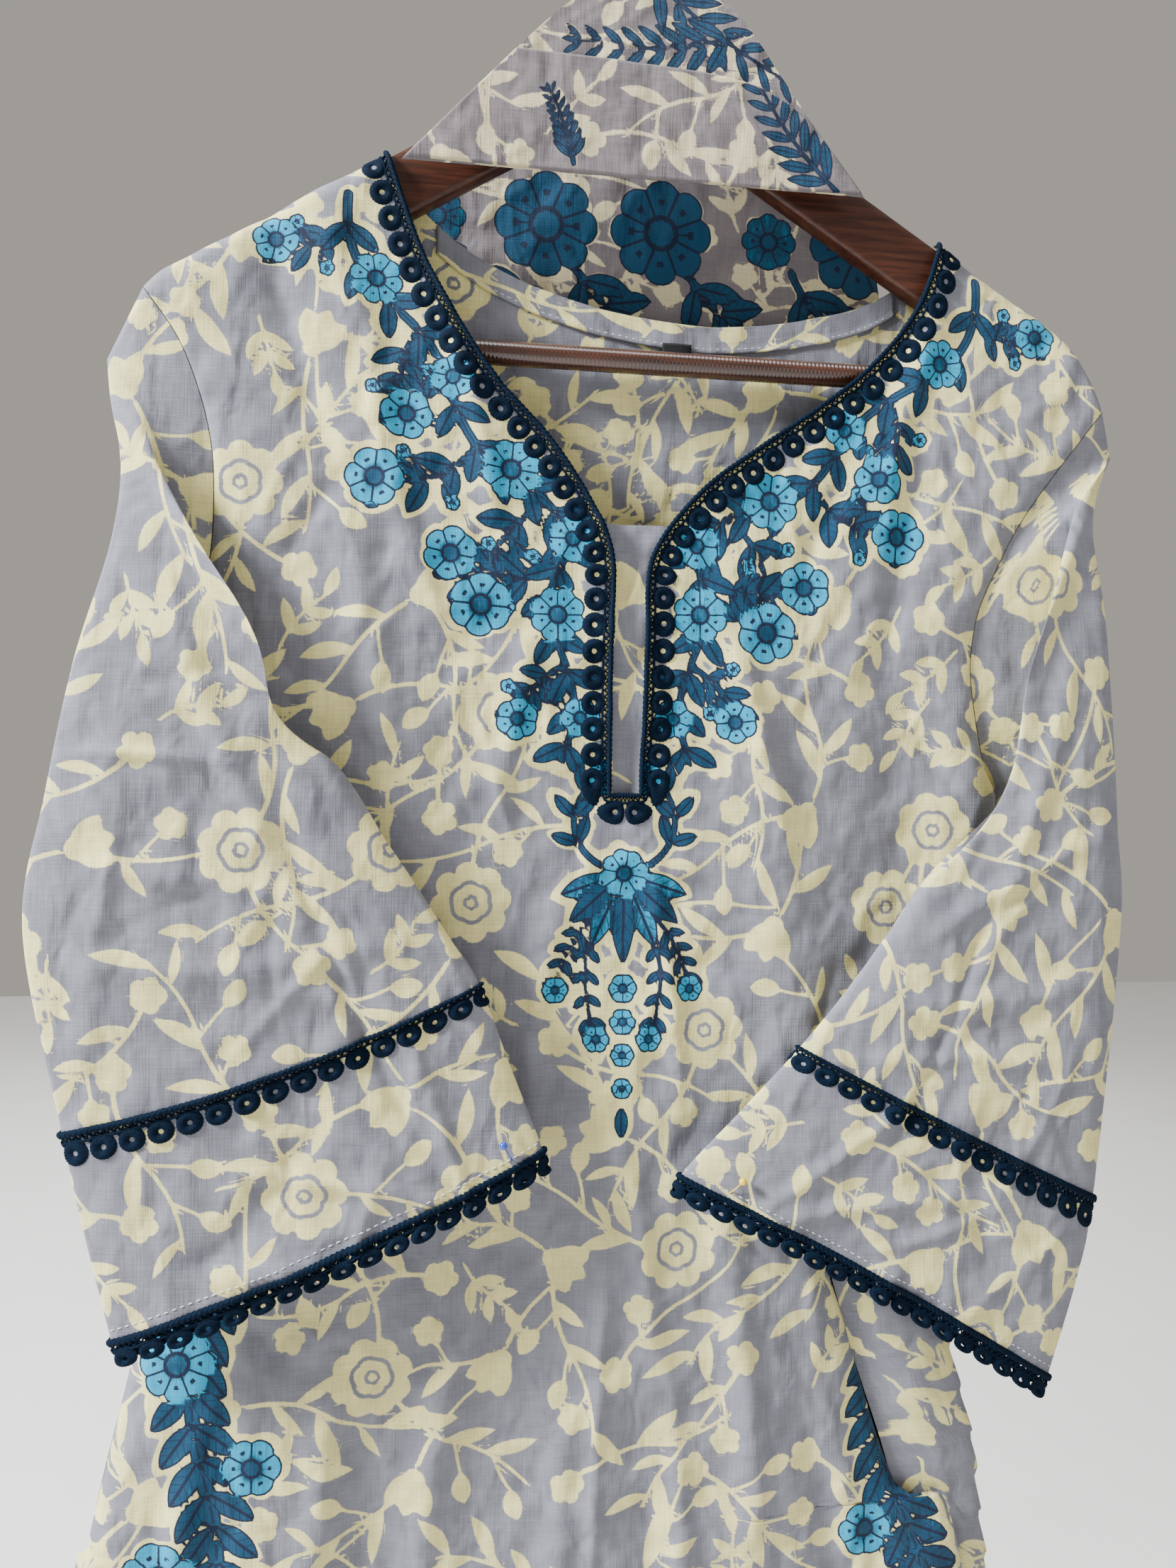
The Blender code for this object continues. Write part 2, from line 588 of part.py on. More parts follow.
def sleeve_ring(rows, at, count, grow=0.0):
    """The sleeve's closed section at a row: count steps down its front from the outer edge to the
    inner one, and as many back behind. grow moves it outwards."""
    knots = np.arange(1, len(rows) + 1)
    value = {name: float(through(knots, column(rows, name), at)) for name in SleeveRow._fields[1:]}
    outer = np.array([value["outer_x"], value["outer_z"]])
    fold = np.array([value["fold_x"], value["fold_z"]])
    inner = np.array([value["inner_x"], value["inner_z"]])
    t = (1 - np.cos(np.linspace(0, pi, count + 1))) / 2
    t = SLEEVE_EDGE_CLOSENESS * t + (1 - SLEEVE_EDGE_CLOSENESS) * np.linspace(0, 1, count + 1)
    first = np.linalg.norm(fold - outer)
    second = np.linalg.norm(inner - fold)
    turn = first / (first + second)
    fold_step = count * SLEEVE_FOLD_STEP // SLEEVE_SIDE_STEPS
    t_front = np.interp(t, [0, t[fold_step], 1], [0, turn, 1])
    before = outer + (fold - outer) * np.clip(t_front / turn, 0, 1)[:, None]
    after = (inner - fold) * np.clip((t_front - turn) / (1 - turn), 0, 1)[:, None]
    front = before + after
    behind = outer + (inner - outer) * t[:, None]
    middle_front, middle = (
        value["mid_outer"] + (value["mid_inner"] - value["mid_outer"]) * share for share in (t_front, t)
    )
    half_front, half = (
        (value["half"] + grow) * np.sqrt(np.clip(1 - np.abs(2 * share - 1) ** 3, 0, 1))
        for share in (t_front, t)
    )
    stretch = 1 + 2 * grow / np.linalg.norm(inner - outer)
    centre = (outer + inner) / 2
    front = centre + (front - centre) * stretch
    behind = centre + (behind - centre) * stretch
    ridge = value["ridge"] * np.exp(-(((t_front - turn) / SLEEVE_RIDGE_WIDTH) ** 2))
    front_z = front[:, 1] - value["bow"] * np.sin(pi * t_front)
    behind_z = behind[:, 1] - value["bow"] * np.sin(pi * t)
    front_points = points(front[:, 0], middle_front - half_front - ridge, front_z)
    back_points = points(behind[:, 0], middle + half, behind_z)
    return np.concatenate([front_points, back_points[-2:0:-1]])


def sleeve(name, side, rows):
    places = 1 + row_places(SLEEVE_STEPS)
    rings = [armhole(side, SLEEVE_SIDE_STEPS)]
    rings += [sleeve_ring(rows, at, SLEEVE_SIDE_STEPS) for at in places]
    return cloth(name, np.array(rings), PRINTED_COTTON, closed=True)


def scallop(along, pitches):
    """0 between two scallops and 1 at the middle of each."""
    return np.abs(np.sin(pi * along * pitches))


def sleeve_lace(name, rows, start, length):
    """A scalloped strip all round the sleeve, from a row downwards, just outside the sleeve."""
    knots = np.arange(1, len(rows) + 1)
    width = np.hypot(
        through(knots, column(rows, "inner_x") - column(rows, "outer_x"), start),
        through(knots, column(rows, "inner_z") - column(rows, "outer_z"), start),
    )
    pitches = 2 * round(width / LACE_PITCH)
    steps = pitches * LACE_STEPS // 2
    grow = WALL / 2 + LACE_GAP + LACE_WALL / 2
    row_height = np.hypot(
        through(knots, column(rows, "outer_x"), start + 0.5) - through(knots, column(rows, "outer_x"), start),
        through(knots, column(rows, "outer_z"), start + 0.5) - through(knots, column(rows, "outer_z"), start),
    ) / 0.5
    along = np.arange(2 * steps) / (2 * steps)
    ends = start + length / row_height * (1 - LACE_SCALLOP + LACE_SCALLOP * scallop(along, pitches))
    top = sleeve_ring(rows, start, steps, grow)
    bottom = np.array([sleeve_ring(rows, at, steps, grow)[i] for i, at in enumerate(ends)])
    cloth(name, np.array([top, bottom]), NAVY_LACE, wall=LACE_WALL, closed=True)


def neck_line(count):
    """The neckline and slit edge from the left shoulder round to the right one, evenly spaced."""
    at = np.linspace(NECK_LACE_START_ROW, SLIT_END_ROW, 200)
    one = np.ones((1, 1))
    left = front_half("l", at[:, None], one)[:, 0]
    right = front_half("r", at[:, None], one)[::-1, 0]
    line = np.concatenate([left, right])[:, [0, 2]]
    length = np.concatenate([[0], np.cumsum(np.linalg.norm(np.diff(line, axis=0), axis=1))])
    even = np.linspace(0, length[-1], count + 1)
    even_line = np.stack([np.interp(even, length, line[:, 0]), np.interp(even, length, line[:, 1])], -1)
    return even_line, length[-1]


def neck_lace():
    """The scalloped strip on the front along the neckline, down both sides of the slit."""
    pitches = round(neck_line(10)[1] / LACE_PITCH)
    steps = pitches * LACE_STEPS
    line, _ = neck_line(steps)
    ahead = np.gradient(line, axis=0)
    ahead = ahead + np.roll(ahead, 1, axis=0) + np.roll(ahead, -1, axis=0)
    ahead[0], ahead[-1] = ahead[1], ahead[-2]
    ahead = ahead / np.linalg.norm(ahead, axis=1)[:, None]
    away = np.stack([ahead[:, 1], -ahead[:, 0]], -1)
    along = np.arange(steps + 1) / steps
    reach = LACE_WIDTH * (1 - LACE_SCALLOP + LACE_SCALLOP * scallop(along, pitches))
    outwards = WALL / 2 + NECK_LACE_GAP + LACE_WALL / 2
    rows = []
    for share in (NECK_LACE_EDGE, 1):
        x, z = (line + away * (reach * share)[:, None]).T
        rows.append(beside_front(x, np.minimum(z, shoulder_z(x) - LACE_WALL), outwards))
    cloth("neck_lace", np.array(rows), NAVY_LACE, wall=LACE_WALL)


def fall(name, rows, steps, side, folds):
    """A fall of the folded dupatta; side is -1 in front of the hanger and 1 behind it."""
    knots = np.arange(len(rows))
    at = row_places(steps)[:, None]
    t = np.linspace(0, 1, FALL_COLUMNS + 1)[None, :]
    left_x, left_z = (through(knots, column(rows, c), at) for c in ("left_x", "left_z"))
    right_x, right_z = (through(knots, column(rows, c), at) for c in ("right_x", "right_z"))
    x = left_x + (right_x - left_x) * t
    z = left_z + (right_z - left_z) * t
    depth = through(knots, column(rows, "depth"), at) + fold_depth(folds, x, z)
    cloth(name, points(x, side * depth, z), DUPATTA_COTTON, wall=FOLDED_WALL)


def dupatta_front_band():
    """The end folded up over the front fall, made from the same plane, moved out."""
    across = column(DUPATTA_BAND, "across")
    t = np.linspace(0, 1, FALL_COLUMNS + 1)[None, :]
    down = np.linspace(0, 1, BAND_ROWS + 1)[:, None]
    top_x, top_z, end_x, end_z = (
        through(across, column(DUPATTA_BAND, name), t) for name in BandPoint._fields[1:]
    )
    x = top_x + (end_x - top_x) * down
    z = top_z + (end_z - top_z) * down
    front = through(-column(DUPATTA_FRONT, "left_z"), column(DUPATTA_FRONT, "depth"), -z)
    outwards = FOLDED_WALL / 2 + LAYER_GAP + WALL / 2
    cloth("dupatta_front_band", points(x, -front - outwards, z), DUPATTA_COTTON)


def dupatta_gather():
    """The gathered cloth that lies over the wood beside the hook's stem: a pleated roll, front to back."""
    count = 4 * GATHER_PLEATS
    turn = np.arange(count) / count * 2 * pi
    centre_x = (GATHER_LEFT_X + GATHER_RIGHT_X) / 2
    centre_z = (GATHER_BOTTOM_Z + GATHER_TOP_Z) / 2
    half_x = (GATHER_RIGHT_X - GATHER_LEFT_X) / 2
    half_z = (GATHER_TOP_Z - GATHER_BOTTOM_Z) / 2
    pleat = 1 - GATHER_PLEAT_DEPTH * (1 + np.cos(GATHER_PLEATS * turn)) / 2
    mesh = bpy.data.meshes.new("dupatta_gather")
    rings = []
    for share in GATHER_ALONG:
        size = (1 - abs(share) ** 6 * GATHER_END_ROUND) * pleat
        rings.append(
            points(
                centre_x + half_x * size * np.cos(turn),
                -GATHER_HALF_LENGTH * share,
                centre_z + half_z * size * np.sin(turn),
            )
        )
    faces = [
        (r * count + c, r * count + (c + 1) % count, (r + 1) * count + (c + 1) % count, (r + 1) * count + c)
        for r in range(len(rings) - 1)
        for c in range(count)
    ]
    faces += [tuple(range(count))[::-1], tuple((len(rings) - 1) * count + c for c in range(count))]
    mesh.from_pydata((np.concatenate(rings) * MM).tolist(), [], faces)
    mesh.shade_smooth()
    add_object("dupatta_gather", mesh, DUPATTA_COTTON)


def arc(centre_x, centre_z, radius, start, end, count):
    angles = np.radians(np.linspace(start, end, count))
    return [(centre_x + radius * cos(a), centre_z + radius * sin(a)) for a in angles]


def hanger_arms():
    """The wooden arms: a flat outline with rounded edges. The lobes at the ends take the bar."""
    lean = np.degrees(atan(HANGER_FALL))
    lobe_x = BAR_HALF_LENGTH + LAYER_GAP
    lobe_centre_x = HANGER_HALF_SPAN - HANGER_LOBE_ROUND
    inner_round = HANGER_LOBE_INNER_ROUND
    tip_centre_x = HANGER_HALF_SPAN - HANGER_TIP_ROUND
    tip_centre_z = HANGER_TOP_Z - HANGER_FALL * tip_centre_x - HANGER_TIP_ROUND / cos(atan(HANGER_FALL))
    underside_z = HANGER_TOP_Z - HANGER_HEIGHT
    half = [(HANGER_CROWN_X, HANGER_TOP_Z - HANGER_FALL * HANGER_CROWN_X)]
    half += [(x, HANGER_TOP_Z - HANGER_FALL * x) for x in (70, 135)]
    half += arc(tip_centre_x, tip_centre_z, HANGER_TIP_ROUND, 90 - lean, 0, 5)
    half += arc(lobe_centre_x, HANGER_LOBE_Z + HANGER_LOBE_ROUND, HANGER_LOBE_ROUND, 0, -90, 4)
    half += arc(lobe_x + inner_round, HANGER_LOBE_Z + inner_round, inner_round, -90, -180, 3)
    half += [(lobe_x, underside_z - HANGER_FALL * lobe_x)]
    half += [(x, underside_z - HANGER_FALL * x) for x in (130, 70, 14)]
    outline = half + [(0, underside_z - HANGER_CENTRE_DROP)] + [(-x, z) for x, z in half[::-1]]
    curve = bpy.data.curves.new("hanger_arms", "CURVE")
    curve.dimensions = "2D"
    curve.fill_mode = "BOTH"
    curve.extrude = (HANGER_THICKNESS / 2 - HANGER_CORNER) * MM
    curve.bevel_depth = HANGER_CORNER * MM
    curve.bevel_resolution = 1
    curve.offset = -HANGER_CORNER * MM
    spline = curve.splines.new("POLY")
    spline.points.add(len(outline) - 1)
    spline.use_cyclic_u = True
    for point, (x, z) in zip(spline.points, outline):
        point.co = (x * MM, z * MM, 0, 1)
    obj = add_object("hanger_arms", curve, BROWN_WOOD)
    obj.rotation_euler = (pi / 2, 0, 0)


def wire(name, route, diameter, finish, sides=2):
    """A round bar or wire along a route of points, with four more sides than twice the number given."""
    curve = bpy.data.curves.new(name, "CURVE")
    curve.dimensions = "3D"
    curve.bevel_depth = diameter / 2 * MM
    curve.bevel_resolution = sides
    curve.use_fill_caps = True
    spline = curve.splines.new("POLY")
    spline.points.add(len(route) - 1)
    for point, place in zip(spline.points, route):
        point.co = (*(value * MM for value in place), 1)
    add_object(name, curve, finish)


def hanger_bar():
    ends = [(-BAR_HALF_LENGTH, 0, BAR_Z), (BAR_HALF_LENGTH, 0, BAR_Z)]
    wire("hanger_bar", ends, BAR_DIAMETER, BROWN_WOOD, sides=4)


def hanger_hook():
    """A straight stem, an easy bend, and then a round hook whose inner top is the origin."""
    radius = HOOK_INNER_RADIUS + WIRE_DIAMETER / 2
    centre_z = -HOOK_INNER_RADIUS
    foot_z = HANGER_TOP_Z - HANGER_FALL * HANGER_CROWN_X + LAYER_GAP
    join = np.array([radius * cos(HOOK_JOIN_ANGLE), centre_z + radius * sin(HOOK_JOIN_ANGLE)])
    leave = np.array([0, HOOK_STEM_TOP_Z])
    heading = np.array([-sin(HOOK_JOIN_ANGLE), cos(HOOK_JOIN_ANGLE)]) * HOOK_BEND_REACH
    t = np.linspace(0, 1, 7)[1:-1, None]
    rising = t * t * (3 - 2 * t)
    bend = leave * (1 - rising) + join * rising
    bend = bend + t * (1 - t) ** 2 * np.array([0, HOOK_BEND_REACH]) + t * t * (t - 1) * heading
    round_part = [
        (radius * cos(a), centre_z + radius * sin(a))
        for a in np.linspace(HOOK_JOIN_ANGLE, HOOK_END_ANGLE, 16)
    ]
    flat = [(0, foot_z), (0, HOOK_STEM_TOP_Z)] + bend.tolist() + round_part
    wire("hanger_hook", [(x, 0, z) for x, z in flat], WIRE_DIAMETER, STEEL_WIRE)


def main():
    clear_scene()
    collection = bpy.data.collections.new("kameez_on_hanger")
    bpy.context.scene.collection.children.link(collection)
    hanger_arms()
    hanger_bar()
    hanger_hook()
    kameez_front()
    kameez_back()
    back_neck_facing()
    size_label()
    slit_placket()
    sleeve("sleeve_left", -1, SLEEVE_LEFT)
    sleeve("sleeve_right", 1, SLEEVE_RIGHT)
    neck_lace()
    for side, rows in (("left", SLEEVE_LEFT), ("right", SLEEVE_RIGHT)):
        sleeve_lace(f"sleeve_{side}_upper_lace", rows, TRIM_ROW, LACE_WIDTH)
        sleeve_lace(f"sleeve_{side}_hem_lace", rows, HEM_LACE_ROW, LACE_WIDTH)
    fall("dupatta_front", DUPATTA_FRONT, DUPATTA_FRONT_STEPS, -1, [])
    fall("dupatta_back", DUPATTA_BACK, DUPATTA_BACK_STEPS, 1, DUPATTA_BACK_FOLDS)
    dupatta_front_band()
    dupatta_gather()


main()
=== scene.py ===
"""A printed cotton kameez and its dupatta on a wooden clothes hanger.

Metres, +Z up, the front towards -Y, left and right as seen from the front. The origin is the inner
top of the hook. Sizes in the tables and shape functions are in millimetres; MM turns them into metres.
Each cloth piece is a surface of two parameters worked out on a fine grid, and its print is a set of
signed distances in millimetres that the cloth carries at its points.
"""

from collections import namedtuple
from math import atan, cos, pi, radians, sin

import bpy
import numpy as np
from bpy.props import FloatProperty, FloatVectorProperty, IntProperty, PointerProperty
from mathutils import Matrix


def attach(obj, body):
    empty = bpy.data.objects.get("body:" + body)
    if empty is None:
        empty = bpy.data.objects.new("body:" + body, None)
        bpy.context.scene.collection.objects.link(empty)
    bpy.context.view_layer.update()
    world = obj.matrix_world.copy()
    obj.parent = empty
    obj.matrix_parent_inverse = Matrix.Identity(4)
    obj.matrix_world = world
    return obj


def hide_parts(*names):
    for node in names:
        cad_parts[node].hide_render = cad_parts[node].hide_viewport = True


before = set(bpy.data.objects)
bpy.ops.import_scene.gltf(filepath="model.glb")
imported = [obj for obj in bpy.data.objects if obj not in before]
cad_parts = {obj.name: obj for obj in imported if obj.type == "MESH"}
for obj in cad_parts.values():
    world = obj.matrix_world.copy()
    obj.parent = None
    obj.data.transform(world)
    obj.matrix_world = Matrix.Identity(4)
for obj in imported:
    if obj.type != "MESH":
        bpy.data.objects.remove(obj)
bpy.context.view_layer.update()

bl_info = {
    "name": "Kameez on a hanger",
    "version": (1, 0, 0),
    "blender": (4, 5, 0),
    "location": "View3D > Sidebar > Kameez",
    "description": "Builds a printed kameez and its dupatta on a wooden hanger",
    "category": "Add Mesh",
}

MM = 0.001

# Cloth
SEAM_GAP = 0.2
SIDE_SEAM_TURN = 0.12
EDGE_ROUND = 22.0

# Hanger
HANGER_HALF_SPAN = 209.5
HANGER_TOP_Z = -87.0
HANGER_FALL = 0.61
HANGER_THICKNESS = 11.0
HANGER_HEIGHT = 31.0
HANGER_LOBE_Z = -250.0
HANGER_TIP_DROP = 0.03
HANGER_TIP_START = 205.0
BAR_Z = -238.0
BAR_HALF_LENGTH = 179.0
BAR_RADIUS = 5.5
BAR_GRIP_DEPTH = 0.14
BAR_GRIP_PITCH = 1.9
HOOK_WIRE_RADIUS = 1.9
HOOK_INNER_RADIUS = 21.1
HOOK_STEM_TOP_Z = -57.0
HOOK_BEND_REACH = 16.0
HOOK_FOOT_Z = -90.3
HOOK_JOIN_ANGLE = radians(-48)
HOOK_END_ANGLE = radians(212)

# Cloth over the hanger: the mid line of the cloth
OVER_RADIUS = 8.7
OVER_RISE = 2.2
FRONT_FULLNESS = 4.2
FRONT_FULL_TOP_Z = -190.0
FRONT_FULL_END_Z = -330.0
BACK_FULLNESS = 6.0
BACK_FULL_TOP_Z = -240.0
BACK_FULL_END_Z = -420.0

# Kameez
HEM_Z = -1165.0
PLACKET_TOP_Z = -316.0
PLACKET_END_Z = -462.0
PLACKET_LEFT_X = -27.0
PLACKET_RIGHT_X = 33.0
FACING_WIDTH = 12.5
FACING_DROP = 0.6
LABEL_X = 16.0
LABEL_WIDTH = 14.0
LABEL_DROP = 7.0
TRIM_ROW = 8
HEM_LACE_ROW = 9.92
ARMHOLE_GAP = 0.35

# Dupatta
DUPATTA_HEM_Z = -985.0
ROLL_X = 15
ROLL_Z = -81.15
ROLL_HALF_WIDTH = 12.65
ROLL_HALF_HEIGHT = 12.45
ROLL_HALF_DEPTH = 12.0

# The front panel, row by row. Its seam edges are the armholes and the side seams; its inner
# edges are the neckline and the slit, and below the slit they bound the middle column of cloth.
# The turns are how far in front of the seam plane the cloth lies at each seam edge.
FrontRow = namedtuple(
    "FrontRow",
    "place seam_l_x seam_l_z edge_l_x edge_l_z edge_r_x edge_r_z seam_r_x seam_r_z turn_l turn_r steps",
)
FRONT_ROWS = [
    FrontRow("shoulder seam", -216, -220.4, -112, -153.3, 146, -174.1, 232, -248.4, 9.0, 9.0, 0),
    FrontRow("below the shoulder", -200, -243, -97, -195, 134, -208, 205, -283, 9.0, 9.0, 2),
    FrontRow("upper neckline", -190, -268, -80, -227, 112, -236, 188, -307, 9.0, 9.0, 1),
    FrontRow("middle neckline", -185, -291, -61, -254, 88, -256, 176, -330, 9.0, 9.0, 1),
    FrontRow("lower neckline", -184, -312, -40, -276, 59, -277, 167, -352, 9.0, 9.0, 1),
    FrontRow("neckline foot", -185, -335, -21, -303, 30, -300, 164, -378, 9.0, 9.0, 1),
    FrontRow("slit top", -189, -362, -9, -331, 8, -331, 168, -404, 7.0, 7.5, 2),
    FrontRow("slit middle", -196, -388, -9, -368, 6, -368, 174, -424, 4.0, 4.0, 1),
    FrontRow("underarm", -204, -410, -9, -405, 5, -405, 181, -445, 0.6, 0.6, 1),
    FrontRow("slit end", -202, -450, -9, -438, 4, -438, 163, -490, 0.6, 1.4, 1),
    FrontRow("waist", -193, -540, -9, -540, 4, -540, 118, -570, 0.6, 4.0, 3),
    FrontRow("above the hip", -203, -630, -9, -630, 4, -630, 97, -640, 0.6, 5.0, 2),
    FrontRow("hip", -216, -690, -9, -690, 4, -690, 108, -690, 0.6, 5.0, 2),
    FrontRow("side slit top", -231, -757, -9, -757, 4, -757, 130, -757, 0.6, 5.0, 2),
    FrontRow("side slit opening", -233, -770, -9, -770, 4, -770, 140, -769, 0.9, 9.0, 1),
    FrontRow("below the side slit", -241, -810, -9, -810, 4, -810, 166, -806, 2.0, 12.0, 1),
    FrontRow("hem", -262, HEM_Z, -9, HEM_Z, 4, HEM_Z, 215, HEM_Z, 6.0, 12.0, 7),
]
UNDERARM_ROW = 8
SLIT_END_ROW = 9
WAIST_ROW = 10
SHOULDER_BOW_END_ROW = 3
# The back panel's right side comes round to the front below the underarm, where its edge lies
# forward of the seam plane and its middle bulges further.
BackSide = namedtuple("BackSide", "z outline_x edge_x forward bulge")
BACK_SIDES = [
    BackSide(-248, 232, 232, 0, 0),
    BackSide(-283, 205, 205, 0, 0),
    BackSide(-330, 176, 176, 0, 0),
    BackSide(-378, 164, 164, 0, 0),
    BackSide(-424, 174, 174, 0, 0),
    BackSide(-445, 181, 181, 0, 0),
    BackSide(-490, 170, 163, 1.0, 0.5),
    BackSide(-570, 158, 118, 4.0, 3.0),
    BackSide(-640, 157, 97, 5.0, 3.5),
    BackSide(-690, 161, 108, 5.0, 3.0),
    BackSide(-757, 177, 130, 4.6, 0.8),
    BackSide(-770, 178, 133, 3.6, 0.2),
    BackSide(-812, 184, 144, 3.0, 0),
    BackSide(-950, 205, 185, 2.0, 0),
    BackSide(HEM_Z, 236, 228, 1.0, 0),
]
NeckPoint = namedtuple("NeckPoint", "x z")
BACK_NECK = [
    NeckPoint(-112, -154),
    NeckPoint(-94, -174),
    NeckPoint(-69, -192),
    NeckPoint(-31, -206.5),
    NeckPoint(6, -213.5),
    NeckPoint(40, -215.5),
    NeckPoint(87, -209),
    NeckPoint(117, -199.5),
    NeckPoint(135, -188),
    NeckPoint(146, -175),
]
# Soft folds. Height is outwards from the body, and a fold that keeps its end runs on to the hem.
Fold = namedtuple("Fold", "place top_x top_z end_x end_z width height keeps_end")
FRONT_FOLDS = [
    Fold("bust to right waist", 38, -350, 96, -610, 17, 3.2, 0),
    Fold("hollow beside the right sleeve", 138, -350, 118, -560, 20, -4.0, 0),
    Fold("left chest", -120, -300, -95, -560, 26, 2.4, 0),
    Fold("left of the slit", -55, -450, -62, HEM_Z, 24, -2.6, 1),
    Fold("centre", -9, -500, -6, HEM_Z, 12, 2.8, 1),
    Fold("left skirt", -150, -600, -176, HEM_Z, 28, 3.4, 1),
    Fold("left skirt hollow", -110, -640, -118, HEM_Z, 20, -4.0, 1),
    Fold("right skirt", 52, -600, 92, HEM_Z, 24, 3.4, 1),
    Fold("right skirt hollow", 88, -660, 150, HEM_Z, 18, -3.6, 1),
]
BACK_FOLDS = [
    Fold("left back", -120, -330, -150, HEM_Z, 30, 4.0, 1),
    Fold("left back hollow", -70, -380, -85, HEM_Z, 24, -3.0, 1),
    Fold("back centre", -5, -360, 0, HEM_Z, 26, 3.6, 1),
    Fold("right back hollow", 50, -380, 65, HEM_Z, 24, -3.0, 1),
    Fold("right back", 105, -330, 130, HEM_Z, 30, 4.0, 1),
]

# Each sleeve is a flattened tube swung inwards over the front. Outer, fold and inner are the
# three places that its front passes, the fold being the ridge where it turns under towards the
# armhole. Mid depths are those of the tube's middle plane, half is half its thickness, ridge is
# how far the fold stands forward, and bow lowers the middle of the row.
SleeveRow = namedtuple(
    "SleeveRow",
    "place outer_x outer_z fold_x fold_z inner_x inner_z mid_outer mid_inner half ridge bow",
)
SLEEVE_LEFT = [
    SleeveRow("cap", -231, -252, -207, -284, -215, -407, 0, 0, 11.0, 4, 0),
    SleeveRow("under the cap", -228, -272, -205, -297, -217, -413, -4, -5, 10.5, 5, 0),
    SleeveRow("above the underarm", -222, -300, -186, -332, -212, -420, -11, -15, 9.5, 6, 0),
    SleeveRow("underarm", -224, -336, -160, -374, -182, -426, -19, -24, 7.5, 4, 0),
    SleeveRow("upper arm", -236, -385, -158, -407, -137, -421, -25, -28, 7.2, 0, 0),
    SleeveRow("middle arm", -246, -440, -177, -451, -106, -462, -27, -28.5, 7.0, 0, 2),
    SleeveRow("elbow", -254, -497, -166, -498, -81, -500, -27, -28.5, 7.0, 0, 4),
    SleeveRow("upper trim", -238, -579, -155, -549, -68, -520, -27, -28.5, 7.0, 0, 7),
    SleeveRow("below the trim", -229, -620, -143, -588, -54, -556, -27, -28.5, 7.0, 0, 5),
    SleeveRow("hem", -217, -668, -129, -630, -39, -594, -27, -28.5, 7.0, 0, 4),
    SleeveRow("hanging edge", -213, -684, -125, -646, -35, -610, -27, -28.5, 7.0, 0, 4),
]
SLEEVE_RIGHT = [
    SleeveRow("cap", 239, -270, 214, -296, 194, -443, 0, 0, 11.0, 4, 0),
    SleeveRow("under the cap", 230, -288, 207, -311, 196, -450, -4, -5, 10.5, 5, 0),
    SleeveRow("above the underarm", 224, -310, 195, -340, 192, -457, -11, -15, 9.5, 6, 0),
    SleeveRow("underarm", 226, -350, 178, -388, 176, -462, -19, -24, 7.5, 4, 0),
    SleeveRow("upper arm", 227, -402, 182, -430, 140, -470, -25, -28, 7.2, 0, 0),
    SleeveRow("middle arm", 229, -452, 172, -477, 117, -499, -27, -28.5, 7.0, 0, 0),
    SleeveRow("elbow", 231, -500, 165, -516, 99, -523, -27, -28.5, 7.0, 0, 0),
    SleeveRow("upper trim", 219, -622, 148, -586, 76, -550, -27, -28.5, 7.0, 0, 1),
    SleeveRow("below the trim", 211, -662, 129, -622, 47, -580, -27, -28.5, 7.0, 0, -2),
    SleeveRow("hem", 197, -707, 110, -658, 21, -607, -27, -28.5, 7.0, 0, -5),
    SleeveRow("hanging edge", 193, -722, 106, -673, 18, -622, -27, -28.5, 7.0, 0, -5),
]
# The dupatta's two falls: their side edges, and how far they lie from the hanger's plane.
FallRow = namedtuple("FallRow", "place left_x left_z right_x right_z depth")
DUPATTA_FRONT = [
    FallRow("top", 4, -69, 29, -69.5, 13.2),
    FallRow("spreading", -14, -76, 37, -76, 14.0),
    FallRow("spread", -35, -87, 49, -87, 14.5),
    FallRow("middle", -72, -126, 79, -128, 15.5),
    FallRow("bottom fold", -106, -162, 106, -161, 15.0),
]
DUPATTA_BACK = [
    FallRow("top", 4, -69, 29, -69.5, 13.2),
    FallRow("spreading", -14, -76, 37, -76, 15.0),
    FallRow("spread", -40, -92, 54, -92, 19.0),
    FallRow("behind the neck", -110, -160, 112, -160, 23.5),
    FallRow("full width", -134, -215, 132, -215, 25.0),
    FallRow("waist", -138, -540, 130, -540, 27.0),
    FallRow("hem", -142, DUPATTA_HEM_Z, 126, DUPATTA_HEM_Z, 28.0),
]
DUPATTA_BACK_FOLDS = [
    Fold("left", -40, -200, -98, DUPATTA_HEM_Z, 22, 3.0, 1),
    Fold("fold edge", -2, -150, -8, DUPATTA_HEM_Z, 16, 3.0, 1),
    Fold("right", 50, -200, 78, DUPATTA_HEM_Z, 24, 3.0, 1),
]
BandPoint = namedtuple("BandPoint", "across top_x top_z end_x end_z")
DUPATTA_BAND = [
    BandPoint(0.0, -56, -109, -104, -160.5),
    BandPoint(0.35, -10, -110, -31, -161),
    BandPoint(0.7, 47, -114, 42, -161),
    BandPoint(0.85, 66, -121, 74, -160.5),
    BandPoint(1.0, 82, -133, 104, -159.5),
]

# Fine creases: a narrow ridge between two places, or a hollow where its height is negative.
Crease = namedtuple("Crease", "start_x start_z end_x end_z width height bow")


def fine_creases(seed, count, left, right, low, high, spread):
    """Seeded short creases, whose headings lie within spread of straight down."""
    random = np.random.default_rng(seed)
    found = []
    for _ in range(count):
        x, z = random.uniform(left, right), random.uniform(low, high)
        lean, length = random.uniform(-spread, spread), random.uniform(30, 90)
        width, height = random.uniform(2.6, 4.5), random.uniform(0.35, 0.85) * random.choice([-1, 1])
        end_x, end_z = x + length * sin(lean), z - length * cos(lean)
        found.append(Crease(x, z, end_x, end_z, width, height, random.uniform(-5, 5)))
    return found


